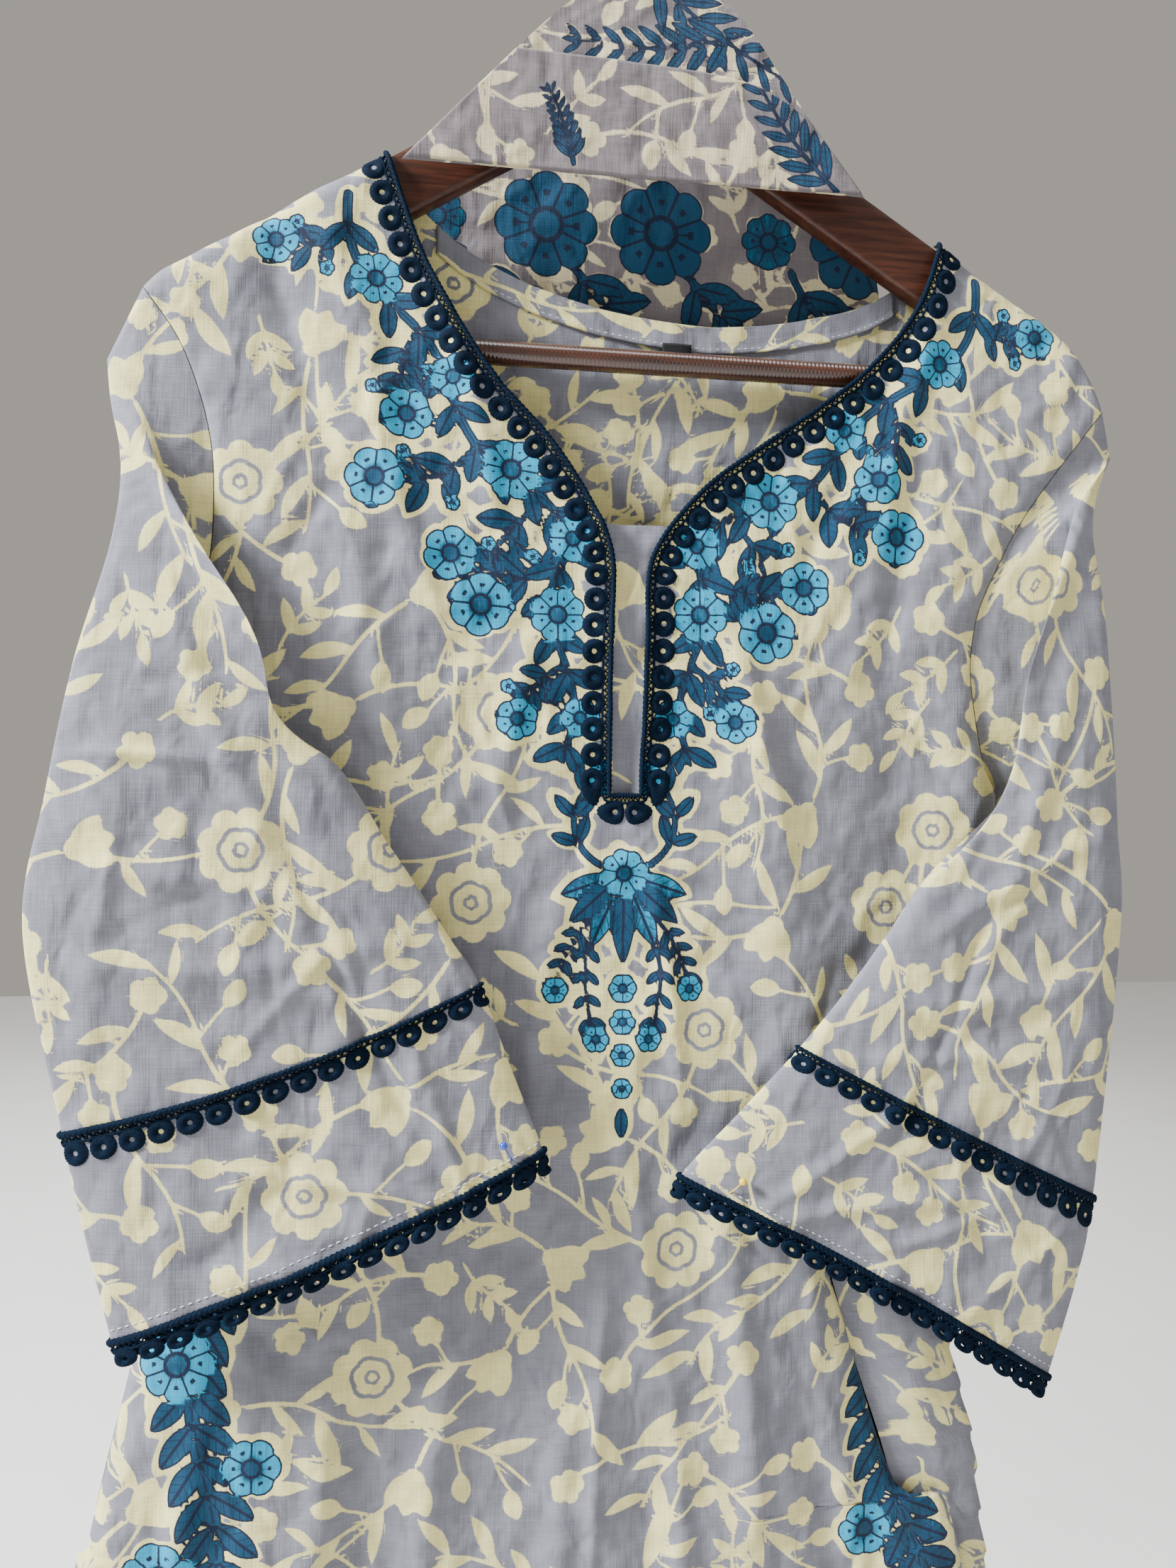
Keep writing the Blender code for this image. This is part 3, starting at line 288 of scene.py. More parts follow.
FRONT_CREASES = [
    *fine_creases(3, 90, -240, 220, -1090, -230, 0.7),
    Crease(-92, -206, -60, -330, 5, 1.5, 4),
    Crease(-150, -96, -116, -250, 9, 1.6, -8),
    Crease(-168, -150, -132, -300, 7, -1.5, -6),
    Crease(150, -140, 118, -290, 8, 1.7, 7),
    Crease(136, -250, 112, -400, 8, -1.8, 5),
    Crease(-128, -300, -104, -420, 8, 1.6, -4),
    Crease(-52, -560, -70, -700, 4, 1.5, -4),
    Crease(66, -540, 92, -700, 5, 1.7, 5),
    Crease(-8, -640, -14, -830, 3, 1.2, -2),
    Crease(24, -760, 20, -1000, 9, 2.2, 3),
    Crease(-90, -800, -110, -1060, 11, 2.4, -5),
    Crease(-170, -840, -186, -1080, 10, 2.0, -4),
    Crease(96, -820, 120, -1080, 11, 2.4, 5),
    Crease(-120, -232, -84, -372, 6, 1.4, -5),
    Crease(40, -352, 74, -470, 6, 1.8, 3),
    Crease(-40, -352, -62, -468, 6, 1.3, -3),
    Crease(104, -262, 70, -360, 7, -1.4, 4),
    Crease(-24, -470, 42, -478, 4, 1.3, 3),
    Crease(-18, -498, 60, -520, 5, -1.1, -3),
    Crease(10, -472, 24, -590, 5, 1.5, 3),
    Crease(-30, -480, -46, -600, 6, 1.4, -4),
    Crease(-2, -590, 12, -720, 7, 2.0, 4),
    Crease(40, -610, 62, -800, 8, 2.2, 5),
    Crease(-60, -640, -92, -800, 8, 2.0, -6),
    Crease(-130, -690, -146, -830, 8, 2.0, 4),
    Crease(-180, -700, -196, -820, 7, 1.6, -3),
    Crease(18, -680, 30, -860, 6, 1.6, 3),
    Crease(92, -700, 116, -840, 7, 1.8, 3),
    Crease(-30, -700, -34, -850, 7, 1.6, 3),
]
SLEEVE_LEFT_CREASES = [
    *fine_creases(5, 30, -240, -70, -640, -330, 1.4),
    Crease(-246, -424, -164, -428, 2.4, 1.5, 3),
    Crease(-196, -312, -112, -470, 5, 1.6, 6),
    Crease(-220, -288, -122, -436, 2.4, 1.7, 4),
    Crease(-206, -292, -96, -470, 2.6, -1.5, 5),
    Crease(-118, -430, -62, -560, 3, 1.4, 4),
    Crease(-150, -452, -82, -600, 3.4, -1.3, -4),
    Crease(-204, -340, -150, -470, 6, 1.4, -4),
    Crease(-236, -470, -130, -486, 5, 1.3, 5),
    Crease(-240, -508, -96, -500, 6, 1.5, -4),
    Crease(-176, -512, -84, -536, 4, 1.2, 4),
    Crease(-222, -400, -232, -560, 6, 1.2, 4),
    Crease(-66, -612, -150, -548, 4, 1.3, 3),
    Crease(-60, -616, -176, -590, 4, 1.4, -3),
    Crease(-62, -618, -204, -640, 5, 1.2, 3),
    Crease(-76, -604, -104, -528, 4, 1.1, -3),
    Crease(-128, -560, -186, -640, 6, -1.2, 4),
]
SLEEVE_RIGHT_CREASES = [
    *fine_creases(6, 30, 70, 225, -660, -350, 1.4),
    Crease(202, -330, 122, -505, 5, 1.7, -6),
    Crease(214, -300, 134, -440, 2.6, 1.6, -5),
    Crease(206, -320, 118, -500, 3, -1.5, -6),
    Crease(128, -478, 66, -585, 3, 1.4, -4),
    Crease(168, -470, 110, -610, 3.4, -1.3, 4),
    Crease(210, -352, 160, -500, 6, 1.4, 4),
    Crease(226, -452, 128, -506, 5, 1.4, -5),
    Crease(224, -520, 104, -532, 6, 1.5, 4),
    Crease(206, -560, 90, -556, 4, 1.2, -3),
    Crease(216, -420, 214, -600, 6, 1.2, 4),
    Crease(50, -628, 140, -560, 4, 1.3, -3),
    Crease(46, -632, 176, -620, 4, 1.4, 3),
    Crease(46, -634, 182, -672, 5, 1.2, -3),
    Crease(120, -600, 180, -660, 6, -1.2, 4),
]
CREASE_LIFT = 1.8
BACK_CREASES = [
    *fine_creases(9, 70, -220, 220, -1050, -230, 0.8),
    Crease(-130, -240, -90, -420, 8, 1.8, 5),
    Crease(140, -260, 100, -430, 8, 1.8, -5),
    Crease(-60, -250, -20, -300, 7, 1.2, 4),
    Crease(-100, -560, 90, -572, 8, 1.3, 8),
    Crease(-40, -600, -52, -900, 9, 2.0, 6),
    Crease(60, -560, 76, -880, 9, 2.0, -6),
    Crease(-170, -520, -190, -900, 8, 1.6, 5),
]


def crease_depth(table, x, z):
    """The sum of the creases at a place: a bell across each crease's line, which bows by a half wave
    and fades towards both its ends."""
    total = np.zeros(np.broadcast(x, z).shape)
    for crease in table:
        run_x, run_z = crease.end_x - crease.start_x, crease.end_z - crease.start_z
        length = np.hypot(run_x, run_z)
        along = ((x - crease.start_x) * run_x + (z - crease.start_z) * run_z) / length**2
        half_wave = np.sin(pi * np.clip(along, 0, 1))
        off = ((x - crease.start_x) * run_z - (z - crease.start_z) * run_x) / length + crease.bow * half_wave
        total = total + CREASE_LIFT * crease.height * half_wave**0.7 * np.exp(-((off / crease.width) ** 2))
    return total


def crumple(x, z, seed, height=0.5, longest=64.0):
    """Worn-in unevenness: sine waves of seeded headings and lengths, shorter ones lower."""
    random = np.random.default_rng(seed)
    total = np.zeros(np.broadcast(x, z).shape)
    for count in range(14):
        length = longest * 0.86**count
        heading = random.uniform(0, pi)
        swing = 4 * np.sin((x * 0.7 - z) / (2.3 * length) + random.uniform(0, 2 * pi))
        wave = (x * np.cos(heading) + z * np.sin(heading) + swing) / length
        total = total + height * 0.9**count * np.sin(2 * pi * wave + random.uniform(0, 2 * pi)) / 2
    return total

def through(knots, values, at):
    """A smooth curve through a column of a table: cubic pieces, with the mean slope at each knot."""
    knots = np.asarray(knots, float)
    values = np.asarray(values, float)
    steps = np.diff(values) / np.diff(knots)
    slopes = np.concatenate([steps[:1], (steps[:-1] + steps[1:]) / 2, steps[-1:]])
    at = np.clip(at, knots[0], knots[-1])
    i = np.clip(np.searchsorted(knots, at, side="right") - 1, 0, len(knots) - 2)
    span = knots[i + 1] - knots[i]
    t = (at - knots[i]) / span
    rising = t * t * (3 - 2 * t)
    leaving = t * (1 - t) ** 2 * span * slopes[i]
    arriving = t * t * (t - 1) * span * slopes[i + 1]
    return values[i] * (1 - rising) + values[i + 1] * rising + leaving + arriving


def column(rows, name):
    return np.array([getattr(row, name) for row in rows], float)


def eased(at, start, end):
    t = np.clip((np.asarray(at, float) - start) / (end - start), 0, 1)
    return t * t * (3 - 2 * t)


def rounded(distance, radius):
    """0 to 1 as a quarter circle, over the given distance from an edge."""
    t = np.clip(np.asarray(distance, float) / radius, 0, 1)
    return np.sqrt(1 - (1 - t) ** 2)
def points(x, y, z):
    return np.stack(np.broadcast_arrays(x, y, z), axis=-1).astype(float)


def fold_depth(folds, x, z):
    """The sum of the folds at a place: a bell across each fold, eased in at its top."""
    total = np.zeros(np.broadcast(x, z).shape)
    for fold in folds:
        along = (fold.top_z - z) / (fold.top_z - fold.end_z)
        middle = fold.top_x + (fold.end_x - fold.top_x) * along
        fade = eased(along, 0, 0.3) * (1 if fold.keeps_end else eased(along, 1, 0.7))
        total = total + fold.height * fade * np.exp(-(((x - middle) / fold.width) ** 2))
    return total


def shoulder_z(x):
    """Height of the cloth's mid line along the hanger's top, drooping past the arms' tips."""
    past = np.maximum(np.abs(x) - HANGER_TIP_START, 0)
    return HANGER_TOP_Z + OVER_RISE - HANGER_FALL * np.abs(x) - HANGER_TIP_DROP * past**2


def over_hanger(x, z):
    """Depth of cloth that rounds over the hanger's arm and then hangs straight."""
    below = (shoulder_z(x) - z) * cos(atan(HANGER_FALL))
    return SEAM_GAP / 2 + (OVER_RADIUS - SEAM_GAP / 2) * rounded(below, OVER_RADIUS)


def front_depth(x, z):
    """How far the front's mid line lies from the hanger's plane."""
    fullness = FRONT_FULLNESS * eased(z, FRONT_FULL_TOP_Z, FRONT_FULL_END_Z)
    worn = crease_depth(FRONT_CREASES, x, z) + crumple(x, z, 11)
    return over_hanger(x, z) + fullness + fold_depth(FRONT_FOLDS, x, z) + worn * eased(z, -100, -240)


def beside_front(x, z, out):
    """Points moved out of the front along its own slope, or in behind it where out is negative."""
    step = 0.2
    depth = front_depth(x, z)
    lean_x = (front_depth(x + step, z) - depth) / step
    lean_z = (front_depth(x, z - step) - depth) / step
    steepness = np.sqrt(1 + lean_x**2 + lean_z**2)
    return points(x - out * lean_x / steepness, -depth - out / steepness, z + out * lean_z / steepness)


def back_depth(x, z):
    fullness = BACK_FULLNESS * eased(z, BACK_FULL_TOP_Z, BACK_FULL_END_Z)
    worn = crease_depth(BACK_CREASES, x, z) + crumple(x, z, 17)
    return over_hanger(x, z) + fullness + fold_depth(BACK_FOLDS, x, z) + worn * eased(z, -100, -280)

ROW_NUMBERS = np.arange(len(FRONT_ROWS))


def front_row(name, at):
    return through(ROW_NUMBERS, column(FRONT_ROWS, name), at)


def front_half(side, at, across):
    """Points of the left (l) or right (r) half. across runs from the seam, 0, to the inner edge, 1.
    Rows are straight from seam to inner edge, and the depth rounds out from the seam's turn."""
    seam_x = front_row(f"seam_{side}_x", at)
    seam_z = front_row(f"seam_{side}_z", at)
    edge_x = front_row(f"edge_{side}_x", at)
    edge_z = front_row(f"edge_{side}_z", at)
    turn = front_row(f"turn_{side}", at)
    turn = np.where(turn < 1, SIDE_SEAM_TURN, turn)
    x = seam_x + (edge_x - seam_x) * across
    top_seam_x, top_edge_x = (getattr(FRONT_ROWS[0], f"{end}_{side}_x") for end in ("seam", "edge"))
    top_x = top_seam_x + (top_edge_x - top_seam_x) * across
    top_straight = shoulder_z(top_seam_x) + (shoulder_z(top_edge_x) - shoulder_z(top_seam_x)) * across
    shoulder_bow = shoulder_z(top_x) - top_straight
    z = seam_z + (edge_z - seam_z) * across + shoulder_bow * eased(at, SHOULDER_BOW_END_ROW, 0)
    z = np.where(at == 0, shoulder_z(x), z)
    inner = front_depth(x, z)
    outer = np.minimum(turn, over_hanger(x, z))
    depth = outer + (inner - outer) * rounded(np.hypot(x - seam_x, z - seam_z), EDGE_ROUND)
    return points(x, -depth, z)


def front_places(fine, coarse, fine_end_z):
    """Row places whose heights at the inner edge are evenly spaced, closer where the cloth bends
    over the shoulder."""
    knots = np.linspace(0, len(FRONT_ROWS) - 1, 4001)
    heights = front_row("edge_l_z", knots)
    top = heights[0]
    wanted = np.concatenate(
        [
            top - np.array([0, 0.15, 0.6, 1.3, 2.2, 3.4]),
            np.arange(top - 5, fine_end_z, -fine),
            np.linspace(fine_end_z, HEM_Z, int((fine_end_z - HEM_Z) / coarse) + 1),
        ]
    )
    return np.interp(-wanted, -heights, knots)


def front_grid(at, columns, slit_columns):
    """Both halves side by side, with the columns between them that close the cloth below the slit."""
    across = np.linspace(0, 1, columns)[None, :]
    left = front_half("l", at[:, None], across)
    right = front_half("r", at[:, None], across)[:, ::-1]
    t = np.linspace(0, 1, slit_columns + 2)[None, 1:-1]
    x, z = (left[:, -1:, axis] * (1 - t) + right[:, :1, axis] * t for axis in (0, 2))
    return np.concatenate([left, points(x, -front_depth(x, z), z), right], axis=1)


def back_side(name, z):
    return through(-column(BACK_SIDES, "z"), column(BACK_SIDES, name), -z)


def back_surface(u, z):
    """The point a fraction u along the back's line at height z, from the left seam round the right
    outline to the edge that lies on the front. y rounds out from the seam's turn at both sides."""
    left_x = through(-column(FRONT_ROWS, "seam_l_z"), column(FRONT_ROWS, "seam_l_x"), -z)
    outline_x, edge_x = back_side("outline_x", z), back_side("edge_x", z)
    forward, bulge = back_side("forward", z), back_side("bulge", z)
    underarm_z, waist_z = (FRONT_ROWS[row].seam_r_z for row in (UNDERARM_ROW, WAIST_ROW))
    round_front = eased(z, underarm_z, waist_z)
    main, folded = outline_x - left_x, np.maximum(outline_x - edge_x, 1e-6)
    s = u * (main + np.where(round_front > 0, folded, 0))
    x = left_x + np.minimum(s, main)
    turn_l, turn_r = (
        through(-column(FRONT_ROWS, f"seam_{side}_z"), column(FRONT_ROWS, f"turn_{side}"), -z)
        for side in "lr"
    )
    turn_l = np.where(turn_l < 1, SIDE_SEAM_TURN, turn_l)
    over = over_hanger(x, z)
    turn_left = np.minimum(turn_l, over)
    turn_right = np.where(round_front > 0, SEAM_GAP / 2, np.minimum(turn_r, over))
    y = turn_left + (back_depth(x, z) - turn_left) * rounded(x - left_x, EDGE_ROUND)
    y = turn_right + (y - turn_right) * rounded(outline_x - x, EDGE_ROUND)
    b = np.clip((s - main) / folded, 0, 1)
    front_y = -forward * rounded(b, 0.5) - bulge * np.sin(pi * b) ** 2 + SEAM_GAP / 2 * (1 - round_front)
    on_front = (s > main) & (round_front > 0)
    return points(np.where(on_front, outline_x - folded * b, x), np.where(on_front, front_y, y), z)


def back_top_z(u):
    """Top edge of the back: the shoulders' line, and the neck curve between them."""
    x = FRONT_ROWS[0].seam_l_x + (FRONT_ROWS[0].seam_r_x - FRONT_ROWS[0].seam_l_x) * u
    in_neck = (x > BACK_NECK[0].x) & (x < BACK_NECK[-1].x)
    return np.where(in_neck, through(column(BACK_NECK, "x"), column(BACK_NECK, "z"), x), shoulder_z(x))


def back_grid(columns, fine, coarse, fine_end):
    """Rows at even drops below the top edge, closer where the cloth bends over the shoulder."""
    u = np.linspace(0, 1, columns)[None, :]
    near = np.array([0, 0.15, 0.6, 1.3, 2.4, 4, 6, 8.5])
    length = 1012.0
    drops = np.concatenate(
        [near, np.arange(11, fine_end, fine), np.linspace(fine_end, length, int((length - fine_end) / coarse))]
    )
    top = back_top_z(u)
    z = top + (HEM_Z - top) * drops[:, None] / length
    return back_surface(np.broadcast_to(u, (len(drops), columns)), z)


def armhole(side, count):
    """The armhole's loop just outside the panels: down the front edge and up the back edge."""
    at = np.linspace(0, UNDERARM_ROW, count + 1)
    front = front_half("l" if side < 0 else "r", at[:, None], np.zeros((1, 1)))[:, 0]
    loop = np.concatenate([front, points(front[::-1, 0], -front[::-1, 1], front[::-1, 2])[1:-1]])
    ahead = np.gradient(front[:, [0, 2]], axis=0)
    ahead = ahead / np.linalg.norm(ahead, axis=1)[:, None]
    away = np.stack([ahead[:, 1], -ahead[:, 0]], -1) * side * -ARMHOLE_GAP
    away = np.concatenate([away, away[::-1][1:-1]])
    loop[:, 0] += away[:, 0]
    loop[:, 2] += away[:, 1]
    return loop


SLEEVE_EDGE_CLOSENESS = 0.55
SLEEVE_FOLD_SHARE = 0.427
SLEEVE_RIDGE_WIDTH = 0.16
FOLD_SOFTNESS = 0.05


def above_zero(value):
    """value where it is above 0 and 0 below, with a soft corner."""
    return (value + np.sqrt(value**2 + FOLD_SOFTNESS**2)) / 2


def round_sleeve(rows, at, s, out=0.0, table=(), seed=3):
    """A point of the flattened tube: s runs from 0 at the outer edge down its front to 0.5 at the
    inner edge, and back behind to 1. out moves it outwards. Its half thickness is the root of one
    less the cube of the distance from the middle, and its front passes the fold's ridge."""
    knots = np.arange(1, len(rows) + 1)
    row = SleeveRow(None, *(through(knots, column(rows, name), at) for name in SleeveRow._fields[1:]))
    in_front = s <= 0.5
    even = np.where(in_front, s, 1 - s) * 2
    t = SLEEVE_EDGE_CLOSENESS * (1 - np.cos(pi * even)) / 2 + (1 - SLEEVE_EDGE_CLOSENESS) * even
    first = np.hypot(row.fold_x - row.outer_x, row.fold_z - row.outer_z)
    second = np.hypot(row.inner_x - row.fold_x, row.inner_z - row.fold_z)
    turn = first / (first + second)
    warped = np.where(
        t < SLEEVE_FOLD_SHARE,
        t / SLEEVE_FOLD_SHARE * turn,
        turn + (t - SLEEVE_FOLD_SHARE) / (1 - SLEEVE_FOLD_SHARE) * (1 - turn),
    )
    t = np.where(in_front, warped, t)
    before, after = 1 - above_zero(1 - t / turn), above_zero((t - turn) / (1 - turn))
    bow = row.bow * np.sin(pi * t)
    x_front = row.outer_x + (row.fold_x - row.outer_x) * before + (row.inner_x - row.fold_x) * after
    z_front = row.outer_z + (row.fold_z - row.outer_z) * before + (row.inner_z - row.fold_z) * after
    x = np.where(in_front, x_front, row.outer_x + (row.inner_x - row.outer_x) * t)
    z = np.where(in_front, z_front, row.outer_z + (row.inner_z - row.outer_z) * t)
    middle = row.mid_outer + (row.mid_inner - row.mid_outer) * t
    half = (row.half + out) * np.sqrt(np.clip(1 - np.abs(2 * t - 1) ** 3, 0, 1))
    stretch = 1 + 2 * out / np.hypot(row.inner_x - row.outer_x, row.inner_z - row.outer_z)
    centre_x, centre_z = (row.outer_x + row.inner_x) / 2, (row.outer_z + row.inner_z) / 2
    x = centre_x + (x - centre_x) * stretch
    z = centre_z + (z - centre_z) * stretch
    ridge = row.ridge * np.exp(-(((t - turn) / SLEEVE_RIDGE_WIDTH) ** 2))
    worn = (crease_depth(table, x, z) + crumple(x, z, seed, 0.42)) * np.sqrt(np.clip(4 * t * (1 - t), 0, 1))
    worn = worn * eased(at, 2, 4)
    y = np.where(in_front, middle - half - ridge - worn, middle + half)
    return points(x, y, z - bow)


# The print
NO_PRINT = -60.0
VINE_SPACING = 60.0
STEM_STEP = 5.0


def leaf_sides(u, v, length, width):
    """Signed distances inside the two arcs that bound a leaf, u along from its foot, v across."""
    half, waist = length / 2, width / 2
    radius = (half**2 + waist**2) / (2 * waist)
    return [radius - np.hypot(u - half, side * v + radius - waist) for side in (1, -1)]


def petal_shape(u, v, radius, petals, notch):
    """An edge whose radius dips by notch between petals, as the root of the cosine's size."""
    turn = np.arctan2(v, u)
    edge = radius * (1 - notch * (1 - np.sqrt(np.abs(np.cos(petals * turn / 2)))))
    return (edge - np.hypot(u, v)) * 0.9


def stroke_shape(x, z, route, start, end):
    """A line through places whose half width runs from start to end: half width less distance, and
    the distance in half widths, below 0 on the line's left."""
    best, beside = np.full(np.shape(x), NO_PRINT), np.full(np.shape(x), NO_PRINT)
    widths = np.linspace(start, end, len(route))
    for (x0, z0), (x1, z1), w0, w1 in zip(route[:-1], route[1:], widths[:-1], widths[1:]):
        run_x, run_z = x1 - x0, z1 - z0
        t = np.clip(((x - x0) * run_x + (z - z0) * run_z) / max(run_x**2 + run_z**2, 1e-9), 0, 1)
        off_x, off_z = x - x0 - run_x * t, z - z0 - run_z * t
        width, distance = w0 + (w1 - w0) * t, np.hypot(off_x, off_z)
        side = np.sign(off_x * run_z - off_z * run_x) * distance / width
        beside = np.where(width - distance > best, side, beside)
        best = np.maximum(best, width - distance)
    return best, beside


def curl(x, z, heading, bend, length, steps=9):
    """Places along a line whose heading turns evenly by bend over its length."""
    share = np.arange(steps) / (steps - 1)
    headings = heading + bend * (share[:-1] + share[1:]) / 2
    step = length / (steps - 1)
    xs = x + np.concatenate([[0], np.cumsum(np.cos(headings))]) * step
    zs = z + np.concatenate([[0], np.cumsum(np.sin(headings))]) * step
    return np.stack([xs, zs], -1)


CARRIED = ("cream", "stem", "leaf_l", "leaf_r", "ring", "teal", "tone", "along", "across", "leafy")


class Print:
    """What a cloth carries at its points. Pale print: cream is a rough signed distance inside it, stem
    the signed distance from the nearest stem in half widths, leaf_l and leaf_r those inside a leaf's
    two arcs, ring that inside a blossom's ring. Teal print: teal is the signed distance inside the
    topmost motif, with its tone, the place along and across it, and whether it is a leaf."""

    def __init__(self, x, z):
        x, z = np.broadcast_arrays(x, z)
        self.x, self.z = (np.asarray(value, float).ravel() for value in (x, z))
        self.stem_near, self.leaf_near = np.full((2, self.x.size), NO_PRINT)
        for name in CARRIED:
            printed = name not in ("tone", "along", "across", "leafy")
            setattr(self, name, np.full(self.x.size, NO_PRINT if printed else 0.0))

    def near(self, x, z, turn, reach):
        """Which points lie near a place, and where they are in a frame turned there."""
        near = np.flatnonzero((np.abs(self.x - x) < reach) & (np.abs(self.z - z) < reach))
        dx, dz = self.x[near] - x, self.z[near] - z
        return near, dx * cos(turn) + dz * sin(turn), dz * cos(turn) - dx * sin(turn)

    def pale(self, near, inside):
        self.cream[near] = np.maximum(self.cream[near], inside)

    def pale_leaf(self, x, z, turn, length, width):
        near, u, v = self.near(x, z, turn, length + 6)
        bowed = v + 0.05 * length * np.sin(pi * np.clip(u / length, 0, 1))
        sides = leaf_sides(u, bowed, length, width)
        inside = np.minimum(*sides)
        newer = inside > self.leaf_near[near]
        at = near[newer]
        self.leaf_near[at], self.leaf_l[at], self.leaf_r[at] = inside[newer], sides[0][newer], sides[1][newer]
        self.pale(near, inside)

    def pale_line(self, route, start, end):
        middle = np.mean(route, axis=0)
        near, u, v = self.near(*middle, 0, np.max(np.abs(route - middle)) + 6)
        inside, beside = stroke_shape(u + middle[0], v + middle[1], route, start, end)
        newer = inside > self.stem_near[near]
        at = near[newer]
        self.stem_near[at], self.stem[at] = inside[newer], beside[newer]
        self.pale(near, inside)

    def pale_flower(self, x, z, turn, radius):
        near, u, v = self.near(x, z, turn, radius + 5)
        if radius > 15:
            inside = petal_shape(u, v, radius, 8, 0.24)
            self.ring[near] = np.maximum(self.ring[near], petal_shape(u, v, radius * 0.5, 6, 0.14))
        elif radius > 11:
            lobes = [
                np.minimum(*leaf_sides(*turned(u, v, lean, -4), radius * 1.7, radius * 0.9))
                for lean in (-0.66, 0, 0.66)
            ]
            inside = np.maximum.reduce([*lobes, 4.6 - np.hypot(u + 1, v)])
        else:
            inside = petal_shape(u, v, radius, 5, 0.34)
        self.pale(near, inside)

    def motif(self, near, inside, tone, along, across, leafy):
        """A teal motif laid over what is there, so that its dark rim shows on older ones."""
        newer = (inside > self.teal[near]) | (inside > -0.1)
        at = near[newer]
        self.teal[at] = inside[newer]
        self.tone[at] = tone
        self.along[at] = np.broadcast_to(along, inside.shape)[newer]
        self.across[at] = np.broadcast_to(across, inside.shape)[newer]
        self.leafy[at] = leafy

    def rosette(self, x, z, turn, radius, petals=6, tone=0.9):
        near, u, v = self.near(x, z, turn, radius + 8)
        inside = petal_shape(u, v, radius, petals, 0.2)
        self.motif(near, inside, tone, np.hypot(u, v) / radius, np.cos(petals * np.arctan2(v, u) / 2), 0)

    def teal_leaf(self, x, z, turn, length, width, tone=0.25):
        near, u, v = self.near(x, z, turn, length + 8)
        self.motif(near, np.minimum(*leaf_sides(u, v, length, width)), tone, u / length, v / width * 2, 1)

    def teal_line(self, route, start, end, tone=0.0):
        route = np.asarray(route, float)
        middle = np.mean(route, axis=0)
        near, u, v = self.near(*middle, 0, np.max(np.abs(route - middle)) + 8)
        inside, beside = stroke_shape(u + middle[0], v + middle[1], route, start, end)
        self.motif(near, inside, tone, 0.08, 0.5 + 0.3 * beside, 1)

    def carried(self):
        return {name: getattr(self, name) for name in CARRIED}


def turned(u, v, lean, back=0.0):
    return u * cos(lean) + v * sin(lean) - back, v * cos(lean) - u * sin(lean)


class Places:
    """Round places already taken by motifs."""

    def __init__(self):
        self.taken = np.zeros((0, 3))

    def take(self, x, z, radius):
        self.taken = np.concatenate([self.taken, [[x, z, radius]]])

    def free(self, x, z, radius):
        apart = np.hypot(self.taken[:, 0] - x, self.taken[:, 1] - z) - self.taken[:, 2]
        return not len(apart) or apart.min() > radius


